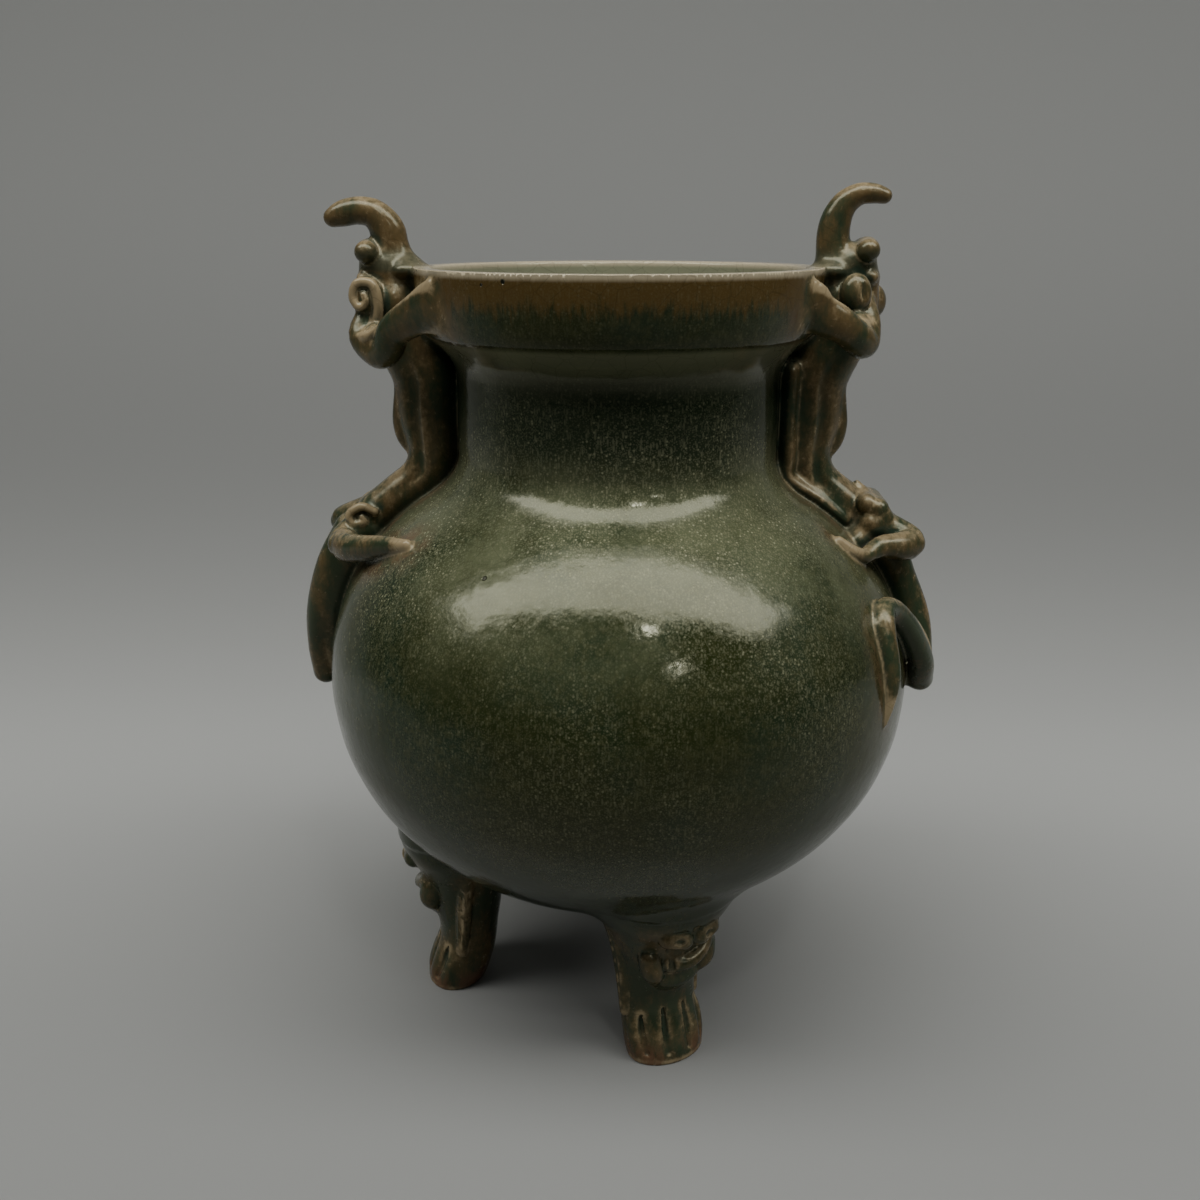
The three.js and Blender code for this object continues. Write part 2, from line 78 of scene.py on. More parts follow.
@dataclass(frozen=True)
class Pot:
    """The thrown pot: every size of its outline, in millimetres, with the ground at zero."""

    FINE = (90, 60)      # stretches of the outer belly and shoulder
    PLAIN = (60, 42)     # stretches of the inner belly and shoulder
    CLEAR = 8            # how far the hollow is carried up past the lip

    rim_height: float = 224.0
    mouth_radius: float = 56.0
    band_height: float = 17.5
    band_taper: float = 2.4
    bevel_height: float = 6.6
    lip: float = 4.6
    neck_radius: float = 45.5
    belly_radius: float = 84.8
    belly_height: float = 110.0
    shoulder_rise: float = 66.7
    underside: float = 32.2
    fillet: float = 7.0
    wall: float = 6.0

    @property
    def neck_top(self) -> float:
        """Height where the neck meets the sloping underside of the band."""
        return self.rim_height - self.band_height - self.bevel_height

    @property
    def neck_foot(self) -> float:
        """Height where the line of the shoulder would meet the neck."""
        share = self.neck_radius / self.belly_radius
        return self.belly_height + self.shoulder_rise * math.sqrt(1 - share ** 2)

    def wall_radius(self, height: float) -> float:
        """Outer radius of the plain wall at a height.

        Args:
            height: Height above the ground, in millimetres.

        Returns:
            The radius, in millimetres.
        """
        if height > self.neck_top:
            heights = [self.neck_top, self.neck_top + self.bevel_height, self.rim_height]
            radii = [self.neck_radius, self.mouth_radius - self.band_taper, self.mouth_radius]
            return float(np.interp(height, heights, radii))
        if height > self.belly_height:
            share = (height - self.belly_height) / self.shoulder_rise
            swell = self.belly_radius * math.sqrt(max(0.0, 1 - share ** 2))
            return max(self.neck_radius, swell)
        share = (self.belly_height - height) / (self.belly_height - self.underside)
        return self.belly_radius * math.sqrt(max(0.0, 1 - share ** 2))

    def lower_belly(self, inset: float, steps: int) -> np.ndarray:
        """Outline from the middle of the underside up to the widest line.

        Args:
            inset: Distance inwards from the outer face.
            steps: Number of stretches that the curve is cut into.

        Returns:
            Points as radius and height, one row each.
        """
        radius = self.belly_radius - inset
        bottom = self.underside + inset
        drop = self.belly_height - bottom
        knots = np.array([
            [0, bottom],
            [radius * 0.45, bottom + drop * 0.1],
            [radius, self.belly_height - drop * 0.61],
            [radius, self.belly_height],
        ])
        return bezier(knots, steps)

    def shoulder(self, inset: float, steps: int) -> np.ndarray:
        """Outline from the widest line over the shoulder and round the soft turn into the neck.

        Args:
            inset: Distance inwards from the outer face.
            steps: Number of stretches over the shoulder.

        Returns:
            Points as radius and height, one row each, without the first.
        """
        radius = self.belly_radius - inset
        rise = self.shoulder_rise - inset
        neck = self.neck_radius - inset
        foot = self.belly_height + rise * math.sqrt(1 - (neck / radius) ** 2)
        last = math.asin((foot - self.fillet * 0.9 - self.belly_height) / rise)
        angles = np.linspace(0, last, steps + 1)[1:]
        heights = self.belly_height + rise * np.sin(angles)
        swell = np.stack([radius * np.cos(angles), heights], 1)
        turn = bezier(np.array([swell[-1], [neck, foot], [neck, foot + self.fillet]]), steps // 3)
        return np.concatenate([swell, turn[1:]])

    def outside(self) -> np.ndarray:
        """Closed outline of the outer face with its top, from the axis round to the axis.

        Returns:
            Points as radius and height, one row each.
        """
        foot = self.mouth_radius - self.band_taper
        bevel = bezier(np.array([
            [self.neck_radius, self.neck_top - 5.0],
            [self.neck_radius, self.neck_top - 0.5],
            [self.neck_radius + 3.4, self.neck_top + 2.6],
            [foot, self.neck_top + self.bevel_height],
        ]), 12)
        band = bezier(np.array([
            bevel[-1],
            [foot + 1.4, self.neck_top + self.bevel_height + 2.2],
            [self.mouth_radius + 0.1, self.rim_height - 9.0],
            [self.mouth_radius, self.rim_height],
        ]), 16)
        return np.concatenate([
            self.lower_belly(0, self.FINE[0]), self.shoulder(0, self.FINE[1]), bevel, band[1:],
            [[0, self.rim_height]],
        ])

    def inside(self) -> np.ndarray:
        """Closed outline of the hollow, from the axis round to the axis above the lip.

        Returns:
            Points as radius and height, one row each.
        """
        neck = self.neck_radius - self.wall
        mouth = self.mouth_radius - self.lip
        top = self.neck_top + self.bevel_height
        flare = bezier(np.array([
            [neck, self.neck_top - 3.0],
            [neck, self.neck_top + 3.0],
            [mouth - self.band_taper, top - 3.0],
            [mouth - self.band_taper, top + 3.5],
        ]), 14)
        above = self.rim_height + self.CLEAR
        return np.concatenate([
            self.lower_belly(self.wall, self.PLAIN[0]), self.shoulder(self.wall, self.PLAIN[1]),
            flare, [[mouth, self.rim_height - 1], [mouth, above], [0, above]],
        ])


def bezier(knots: np.ndarray, steps: int) -> np.ndarray:
    """Points along a Bezier curve of any degree.

    Args:
        knots: Control points, one row each.
        steps: Number of stretches.

    Returns:
        The points from the first knot to the last, one row each.
    """
    share = np.linspace(0, 1, steps + 1)[:, None]
    level = [np.broadcast_to(knot, (steps + 1, knots.shape[1])) for knot in knots]
    while len(level) > 1:
        level = [(1 - share) * a + share * b for a, b in zip(level, level[1:])]
    return level[0].copy()


class TurnedShape:
    """Signed distance to a solid of revolution, kept as a map over radius and height."""

    def __init__(self, outline: np.ndarray, step: float = 0.4, margin: float = 9.0) -> None:
        """Measures the map once.

        Args:
            outline: Closed outline as radius and height, starting and ending on the axis.
            step: Spacing of the map, in millimetres.
            margin: How far the map reaches past the outline.
        """
        low = np.array([-2 * step, outline[:, 1].min() - margin])
        high = outline.max(0) + margin
        counts = np.ceil((high - low) / step).astype(int) + 1
        self.low = low
        self.step = step
        radii = low[0] + step * np.arange(counts[0])
        heights = low[1] + step * np.arange(counts[1])
        rows = [self._row(outline, np.abs(radii), height) for height in heights]
        self.map = np.array(rows, np.float32).T

    @staticmethod
    def _row(outline: np.ndarray, radii: np.ndarray, height: float) -> np.ndarray:
        """Signed distances along one height of the map.

        Args:
            outline: Closed outline as radius and height.
            radii: Radii of the map.
            height: The height.

        Returns:
            One distance for each radius, negative inside.
        """
        start, end = outline[:-1], outline[1:]
        run = end - start
        spots = np.stack([radii, np.full_like(radii, height)], 1)[:, None, :]
        along = ((spots - start) * run).sum(2) / np.maximum((run ** 2).sum(1), SMALL ** 2)
        nearest = start + np.clip(along, 0, 1)[:, :, None] * run
        distance = np.sqrt(((spots - nearest) ** 2).sum(2)).min(1)
        crosses = (start[:, 1] > height) != (end[:, 1] > height)
        rise = np.where(np.abs(run[:, 1]) > SMALL ** 2, run[:, 1], 1.0)
        meets = start[:, 0] + (height - start[:, 1]) / rise * run[:, 0]
        inside = ((meets[None] > radii[:, None]) & crosses[None]).sum(1) % 2 == 1
        return np.where(inside, -distance, distance)

    def distance(self, radius: np.ndarray, height: np.ndarray) -> np.ndarray:
        """Signed distance at places, smoothly read from the map.

        Args:
            radius: Distances from the axis.
            height: Heights above the ground.

        Returns:
            The distances, negative inside.
        """
        rows, columns = self.map.shape
        x = np.clip((radius - self.low[0]) / self.step, 1, rows - 2.001)
        y = np.clip((height - self.low[1]) / self.step, 1, columns - 2.001)
        i = x.astype(np.int32)
        j = y.astype(np.int32)
        wx = self._weights(x - i)
        wy = self._weights(y - j)
        flat = self.map.ravel()
        total = np.zeros(x.shape, np.float32)
        for a in range(4):
            base = (i + a - 1) * columns + j - 1
            line = sum(wy[b] * flat[base + b] for b in range(4))
            total += wx[a] * line
        return total

    @staticmethod
    def _weights(t: np.ndarray) -> list[np.ndarray]:
        """Cubic weights of the four neighbours of each place.

        Args:
            t: How far each place lies past the second neighbour, from 0 to 1.

        Returns:
            The four weights, each an array like t.
        """
        t = t.astype(np.float32)
        return [
            ((-0.5 * t + 1.0) * t - 0.5) * t,
            (1.5 * t - 2.5) * t * t + 1.0,
            ((-1.5 * t + 2.0) * t + 0.5) * t,
            (0.5 * t - 0.5) * t * t,
        ]


def soft_min(a: np.ndarray, b: np.ndarray, reach: float) -> np.ndarray:
    """Union of two distances with a soft hollow of the given reach where they meet."""
    h = np.clip(reach - np.abs(a - b), 0, None) / reach
    return np.minimum(a, b) - h * h * h * (reach / 6.0)


def soft_max(a: np.ndarray, b: np.ndarray, reach: float) -> np.ndarray:
    """Overlap of two distances with a rounded edge of the given reach."""
    return -soft_min(-a, -b, reach)


def oval_distance(level: np.ndarray, rate: np.ndarray, middle: np.ndarray | float) -> np.ndarray:
    """Close estimate of the signed distance to an egg-shaped form.

    Args:
        level: How far out each place lies, 1 on the form.
        rate: How fast the level grows there.
        middle: Depth of the form at its very middle.

    Returns:
        The distances, negative inside.
    """
    found = level * (level - 1) / np.maximum(rate, SMALL)
    return np.where(rate < 10 * SMALL, -middle, found)


@dataclass
class Stroke:
    """A rod of changing oval section along a smooth curve, added to the clay or cut out of it."""

    BEND_CUTS = 6        # straight stretches between two knots of a curve
    ROD_CUTS = 2         # and of a rod with two knots
    THINNEST = 0.15      # least half size of the section
    STEEP = 0.95         # beyond this the rod runs along its guide and needs another

    places: list[np.ndarray]
    wide: list[float]
    deep: list[float]
    reach: float = 1.2
    cut: bool = False
    across: np.ndarray = field(default_factory=lambda: np.array([0.0, 1.0, 0.0]))

    def __post_init__(self) -> None:
        """Cuts the curve into short straight stretches with their sizes and directions."""
        knots = np.array(self.places, float)
        count = len(knots)
        pieces = self.BEND_CUTS if count > 2 else self.ROD_CUTS
        share = np.linspace(0, count - 1, (count - 1) * pieces + 1)
        self.line = smooth_line(knots, share)
        girths = np.stack([np.array(self.wide, float), np.array(self.deep, float)], 1)
        self.girth = smooth_line(girths, share).clip(self.THINNEST)
        margin = self.girth.max() + self.reach + SKIRT
        self.low = self.line.min(0) - margin
        self.high = self.line.max(0) + margin

    def distance(self, spots: np.ndarray) -> np.ndarray:
        """Signed distance from places to the rod.

        Args:
            spots: Places, one row each.

        Returns:
            The distances, negative inside.
        """
        best = np.full(len(spots), FAR, np.float32)
        for k in range(len(self.line) - 1):
            start = self.line[k]
            run = self.line[k + 1] - start
            length = max(float(np.linalg.norm(run)), SMALL)
            along = run / length
            guide = self.across if abs(float(self.across @ along)) < self.STEEP else UP
            across = guide - along * float(guide @ along)
            across /= max(float(np.linalg.norm(across)), SMALL)
            outward = np.cross(across, along)
            offset = spots - start.astype(np.float32)
            t = np.clip(offset @ along.astype(np.float32) / length, 0, 1)
            girth = self.girth[k] + (self.girth[k + 1] - self.girth[k]) * t[:, None]
            rest = offset - t[:, None] * run.astype(np.float32)
            wide = girth[:, 0]
            deep = girth[:, 1]
            u = rest @ across.astype(np.float32)
            v = rest @ outward.astype(np.float32)
            w = rest @ along.astype(np.float32)
            end = np.minimum(wide, deep)
            level = np.sqrt((u / wide) ** 2 + (v / deep) ** 2 + (w / end) ** 2)
            rate = np.sqrt((u / wide ** 2) ** 2 + (v / deep ** 2) ** 2 + (w / end ** 2) ** 2)
            found = oval_distance(level, rate, end)
            best = np.minimum(best, found.astype(np.float32))
        return best


def smooth_line(knots: np.ndarray, share: np.ndarray) -> np.ndarray:
    """Values along a smooth curve through knots.

    Args:
        knots: One row for each knot.
        share: Places along the curve, counted in knots.

    Returns:
        One row for each place.
    """
    if len(knots) == 2:
        return knots[0] + (knots[1] - knots[0]) * share[:, None]
    ends = np.concatenate([[2 * knots[0] - knots[1]], knots, [2 * knots[-1] - knots[-2]]])
    k = np.clip(share.astype(int), 0, len(knots) - 2)
    t = (share - k)[:, None]
    a, b, c, d = ends[k], ends[k + 1], ends[k + 2], ends[k + 3]
    return 0.5 * (2 * b + (c - a) * t + (2 * a - 5 * b + 4 * c - d) * t ** 2
                  + (3 * b - a - 3 * c + d) * t ** 3)


@dataclass
class Lump:
    """A rounded lump with three half sizes along its own directions."""

    place: np.ndarray
    sizes: tuple[float, float, float]
    turn: np.ndarray
    reach: float = 1.2
    cut: bool = False

    def __post_init__(self) -> None:
        """Works out the box that the lump may touch."""
        margin = max(self.sizes) + self.reach + SKIRT
        self.low = np.asarray(self.place) - margin
        self.high = np.asarray(self.place) + margin

    def distance(self, spots: np.ndarray) -> np.ndarray:
        """Signed distance from places to the lump.

        Args:
            spots: Places, one row each.

        Returns:
            The distances, negative inside.
        """
        local = (spots - np.asarray(self.place, np.float32)) @ self.turn.T.astype(np.float32)
        sizes = np.array(self.sizes, np.float32)
        level = np.sqrt(((local / sizes) ** 2).sum(1))
        rate = np.sqrt(((local / sizes ** 2) ** 2).sum(1))
        return oval_distance(level, rate, min(self.sizes)).astype(np.float32)


def rotation(degrees: float, axis: str) -> np.ndarray:
    """Rotation about the X, Y or Z axis as a 3 by 3 array."""
    return np.array(Matrix.Rotation(math.radians(degrees), 3, axis))


Form = Stroke | Lump


@dataclass
class Figure:
    """Something modelled in clay: soft forms laid on one another, with hollows cut into them."""

    name: str
    forms: list[Form]
    seat: float

    def __post_init__(self) -> None:
        """Works out the box that holds the whole figure."""
        added = [form for form in self.forms if not form.cut]
        self.low = np.min([form.low for form in added], 0)
        self.high = np.max([form.high for form in added], 0)

    def distance(self, spots: np.ndarray) -> np.ndarray:
        """Signed distance from groups of places to the figure, its cuts taken out.

        Args:
            spots: Groups of nearby places, an array of groups by places by 3.

        Returns:
            The distances, negative inside, as an array of groups by places.
        """
        found = np.full(spots.shape[:2], FAR, np.float32)
        low, high = spots.min(1), spots.max(1)
        for form in self.forms:
            near = np.nonzero(((high > form.low) & (low < form.high)).all(1))[0]
            if len(near) == 0:
                continue
            group = spots[near]
            size = form.distance(group.reshape(-1, 3)).reshape(group.shape[:2])
            if form.cut:
                found[near] = soft_max(found[near], -size, form.reach)
            else:
                found[near] = soft_min(found[near], size, form.reach)
        return found


@dataclass
class Dragon:
    """One climbing dragon: its horn, head, arms on the band, body, haunch, hind legs and tail.

    Attributes:
        name: Name for the log.
        turn: Degrees round the pot from +X.
        horn: Knots as x, z, half width and half depth.
        tail: Knots as x, y, z and girth, from the haunch down to the corner.
        cheeks: Place, half sizes and whether it is curled, for each cheek.
        elbow: How much the elbow is raised, and how far it is drawn in.
        brow: Its x and z.
        haunch: Bars across the haunch as x, z, half width and girth.
        tuft: Knots of the tuft as x, z and girth.
        feet: Knots of the hind leg on each side.
        soft_seat: True for the dragon that sits on a soft swelling and has no side scrolls.
        pot: The pot that it climbs.
        skew: How far both paws are shifted round the pot.
    """

    SEAT = 2.4       # reach of the soft hollow where the dragon meets the pot

    name: str
    turn: float
    horn: list[Knot]
    tail: list[Knot]
    cheeks: list[tuple[float, float, float, Spot, bool]]
    elbow: tuple[float, float]
    brow: tuple[float, float]
    haunch: list[Knot]
    tuft: list[Knot]
    feet: tuple[list[Knot], list[Knot]]
    soft_seat: bool
    pot: Pot
    skew: float = 4.0

    def on_pot(self, climb: float, out: float, across: float = 0.0) -> np.ndarray:
        """A place beside the pot, with the dragon facing along +X.

        Args:
            climb: 0 at the widest line, 1 at the foot of the neck, 2 at its top, 3 at the lip.
            out: Distance out from the plain wall.
            across: Distance round the pot from the dragon's middle.

        Returns:
            The place in millimetres.
        """
        pot = self.pot
        heights = [pot.belly_height, pot.neck_foot, pot.neck_top, pot.rim_height]
        step = int(np.clip(math.floor(climb), 0, 2))
        height = heights[step] + (heights[step + 1] - heights[step]) * (climb - step)
        reach = pot.wall_radius(height) + out
        angle = across / reach
        return np.array([reach * math.cos(angle), reach * math.sin(angle), height])

    def stroke(self, knots: list[Knot], reach: float = 1.2, cut: bool = False) -> Stroke:
        """A rod through knots given as climb, out, across, half width and half depth."""
        places = [self.on_pot(*knot[:3]) for knot in knots]
        return Stroke(places, [k[3] for k in knots], [k[-1] for k in knots], reach, cut)

    def rod(self, knots: list[Knot], reach: float = 1.2, cut: bool = False) -> Stroke:
        """A rod through knots given as x, y, z, half width and half depth."""
        places = [np.array(knot[:3], float) for knot in knots]
        return Stroke(places, [k[3] for k in knots], [k[-1] for k in knots], reach, cut)

    def lump(self, place: Spot, sizes: Spot, lean: float = 0.0, reach: float = 1.2,
             cut: bool = False) -> Lump:
        """A rounded lump at x, y, z, leaning outwards by some degrees."""
        return Lump(np.array(place, float), sizes, rotation(lean, "Y"), reach, cut)

    def body(self) -> list[Form]:
        """The round body from the head down to the haunch, with grooves along its sides.

        Returns:
            The forms, facing along +X.
        """
        forms: list[Form] = [
            self.stroke([
                (2.85, 9.5, 0, 6.0, 6.0), (2.5, 10.4, 0, 6.3, 6.4), (2.1, 11.8, 0, 6.9, 7.6),
                (1.82, 9.4, 0, 7.3, 9.0), (1.5, 8.4, 0, 7.3, 8.9), (1.2, 7.4, 0, 7.2, 7.6),
                (0.98, 8.6, 0, 7.0, 6.8), (0.88, 6.8, 0, 7.0, 6.2), (0.78, 7.2, 0, 7.0, 6.0),
            ]),
            self.stroke([
                (2.94, 3.4, 0, 5.0, 4.6), (2.5, 4.4, 0, 5.8, 5.2), (2.1, 6.0, 0, 6.4, 5.6),
            ], 2.0),
            self.stroke([
                (2.06, 15.6, 0, 2.4, 2.6), (1.9, 16.4, 0, 2.6, 3.0), (1.76, 15.6, 0, 2.4, 2.8),
                (1.6, 15.9, 0, 2.4, 3.0), (1.44, 16.2, 0, 2.4, 3.2), (1.3, 15.6, 0, 2.2, 2.8),
                (1.18, 13.4, 0, 1.6, 2.0),
            ], 1.6),
        ]
        if self.soft_seat:
            forms.append(self.stroke([
                (1.9, 2.4, 0, 9.4, 3.4), (1.5, 2.0, 0, 9.6, 3.4), (1.2, 2.4, 0, 9.8, 3.4),
                (1.02, 2.8, 0, 9.6, 3.4), (0.9, 2.4, 0, 9.2, 3.2), (0.8, 2.4, 0, 8.4, 3.0),
            ], 2.6))
        for side in Side:
            s = side.value
            forms.append(self.stroke([
                (2.12, 13.4, s * 7.6, 0.5, 0.8), (1.85, 12.6, s * 7.4, 1.1, 1.6),
                (1.5, 12.4, s * 7.0, 1.2, 1.8), (1.2, 11.6, s * 6.8, 1.1, 1.6),
                (1.02, 11.8, s * 7.0, 0.8, 1.2), (0.93, 10.6, s * 7.6, 0.4, 0.6),
            ], 1.8, True))
            if not self.soft_seat:
                forms.append(self.stroke([
                    (2.1, 5.2, s * 8.8, 0.4, 0.6), (1.8, 4.6, s * 8.5, 1.0, 1.3),
                    (1.4, 4.4, s * 8.3, 1.0, 1.4), (1.1, 4.4, s * 8.4, 0.8, 1.1),
                    (0.96, 4.8, s * 8.8, 0.4, 0.6),
                ], 1.8, True))
        return forms

    def horn_forms(self) -> list[Form]:
        """The curled horn and its broad root on the lip.

        Returns:
            The forms, facing along +X.
        """
        return [
            self.lump((58.2, 0, 223.0), (5.0, 8.0, 3.2), 0, 3.0),
            self.rod([(x, 0, z, wide, deep) for x, z, wide, deep in self.horn], 4.0),
        ]

    def head(self) -> list[Form]:
        """Rolled brow, muzzle and the cheek on each side, curled or plain.

        Returns:
            The forms, facing along +X.
        """
        x, z = self.brow
        forms: list[Form] = [
            self.rod([(x, -6.0, z, 3.0, 3.1), (x + 0.4, 0, z + 0.3, 3.2, 3.3),
                      (x, 6.0, z, 3.0, 3.1)], 2.4),
            self.lump((x - 3.0, 0, z - 4.6), (6.4, 6.4, 6.4), 0, 2.4),
            self.lump((x - 6.2, 0, z - 13.6), (6.5, 8.5, 7.5), 0, 3.0),
            self.rod([(x + 1.2, -4.8, z - 7.0, 1.8, 2.0), (x + 2.0, 0, z - 7.2, 2.0, 2.2),
                      (x + 1.2, 4.8, z - 7.0, 1.8, 2.0)], 1.6),
        ]
        for x, y, z, sizes, curled in self.cheeks:
            s = math.copysign(1.0, y)
            forms.append(self.lump((x, y, z), sizes, 0, 1.4))
            if curled:
                forms.append(self.rod([
                    (x - 2.2, y + s * 2.2, z - 8.0, 1.5, 1.6),
                    (x - 3.4, y + s * 3.2, z - 2.0, 1.4, 1.5),
                    (x - 2.2, y + s * 3.8, z + 3.4, 1.3, 1.4),
                    (x + 1.8, y + s * 3.7, z + 3.8, 1.2, 1.3),
                    (x + 3.4, y + s * 3.4, z + 0.2, 1.1, 1.2),
                    (x + 1.6, y + s * 3.9, z - 2.6, 1.0, 1.1),
                    (x - 0.4, y + s * 4.1, z - 1.0, 0.9, 0.9),
                    (x + 0.2, y + s * 4.1, z + 0.8, 0.8, 0.8),
                ], 0.9))
            else:
                forms.append(self.lump((x + 2.4, y + s * 3.2, z + 0.6), (1.3, 0.8, 2.4),
                                       0, 1.2, True))
        return forms

    def arms(self) -> list[Form]:
        """Upper arms, elbows and the broad forearms whose paws spread flat over the band.

        Returns:
            The forms, facing along +X.
        """
        forms: list[Form] = []
        rise, inset = self.elbow
        skew = self.skew
        for side in Side:
            s = side.value
            path = [
                (2.62, 11.6, s * 5.0, 3.2, 3.4), (2.36 + rise, 15.4 - inset, s * 9.0, 3.3, 3.7),
                (2.17 + rise, 16.8 - inset, s * 12.6, 4.0, 4.4),
                (2.22 + rise, 13.2 - inset * 0.6, s * 16.6, 3.6, 4.3),
                (2.39 + rise * 0.5, 8.0, s * 20.6, 2.9, 4.5),
                (2.52, 3.4, s * 25.0 + skew * 0.6, 2.5, 5.2),
                (2.62, 0.5, s * 29.5 + skew, 2.0, 6.8), (2.64, -1.0, s * 33.0 + skew, 1.3, 6.0),
            ]
            band = self.pot.rim_height - self.pot.neck_top
            crest = [(climb + deep * 0.88 / band, out, across, 0.8, 0.9)
                     for climb, out, across, _, deep in path[2:7]]
            forms += [
                self.stroke(path, 1.8),
                self.stroke(crest, 1.6),
                self.lump(self.on_pot(2.3 + rise, 13.2 - inset, s * 12.4), (3.4, 3.6, 4.4), 0, 2.4),
            ]
        return forms

    def haunches(self) -> list[Form]:
        """The haunch with its pointed tuft and side scrolls, and the hind legs on the shoulder.

        Returns:
            The forms, facing along +X.
        """
        forms = [self.rod([(x, -width, z, girth, girth), (x, width, z, girth, girth)], 1.4)
                 for x, z, width, girth in self.haunch]
        forms.append(self.rod([(x, 0, z, girth, girth) for x, z, girth in self.tuft], 1.2))
        x, z = self.haunch[0][:2]
        forms.append(self.lump((x - 2.0, 0, z - 10.0), (6.0, 12.0, 5.0), 30, 3.0))
        x, z = self.haunch[1][:2]
        for side, foot in zip(Side, self.feet):
            s = side.value
            forms.append(self.stroke(foot, 1.6))
            if not self.soft_seat:
                forms.append(self.rod([
                    (x - 4.4, s * 8.4, z + 2.2, 1.2, 1.2), (x - 0.8, s * 9.0, z + 3.8, 1.2, 1.3),
                    (x + 2.8, s * 9.0, z + 1.4, 1.2, 1.3), (x + 1.6, s * 9.2, z - 1.6, 1.1, 1.2),
                    (x - 1.4, s * 9.2, z - 0.6, 1.0, 1.1), (x - 0.8, s * 9.2, z + 1.0, 0.8, 0.9),
                ], 0.9))
        return forms

    def tail_forms(self) -> list[Form]:
        """The tail down to its blunt corner, then folded back up and round in a small loop.

        Returns:
            The forms, facing along +X.
        """
        pot = self.pot
        down = self.rod([(x, y, z, girth, girth) for x, y, z, girth in self.tail], 1.4)
        x, y, z, _ = self.tail[-1]
        corner = (z - pot.belly_height) / (pot.neck_foot - pot.belly_height)
        out = math.hypot(x, y) - pot.wall_radius(z)
        return [
            down,
            self.stroke([
                (0.68, 4.0, 0, 5.6, 5.2), (0.5, 4.0, 0, 4.8, 5.2), (0.28, 4.0, -2.0, 4.8, 5.2),
                (0.1, 3.2, -5.0, 4.6, 4.8), (corner + 0.02, 1.6, -8.0, 4.0, 4.0),
            ], 2.6),
            self.stroke([
                (corner, out, -9.6, 3.8, 3.8), (0.12, 4.4, -16.4, 3.5, 3.5),
                (0.3, 3.2, -22.6, 3.2, 3.3), (0.43, 2.4, -27.6, 3.0, 3.2),
                (0.47, 1.9, -33.4, 2.9, 3.1), (0.4, 1.7, -39.4, 2.8, 3.0),
                (0.2, 1.4, -43.2, 2.4, 2.5), (0.06, 0.6, -44.6, 1.5, 1.5),
                (-0.03, 0.0, -45.2, 0.6, 0.6),
            ], 0.8),
            self.stroke([
                (corner + 0.05, out + 2.6, -9.4, 0.7, 0.7), (0.18, 6.9, -15.2, 0.6, 0.7),
                (0.34, 5.6, -21.2, 0.6, 0.7), (0.44, 4.4, -26.4, 0.5, 0.6),
            ], 1.4),
        ]

    def figure(self) -> Figure:
        """The whole dragon, turned to its side of the pot.

        Returns:
            Its forms as one figure, cuts last.
        """
        forms = (self.body() + self.horn_forms() + self.head() + self.arms() + self.haunches()
                 + self.tail_forms())
        forms.sort(key=lambda form: form.cut)
        return Figure(self.name, turned_forms(forms, self.turn, 0.0), self.SEAT)


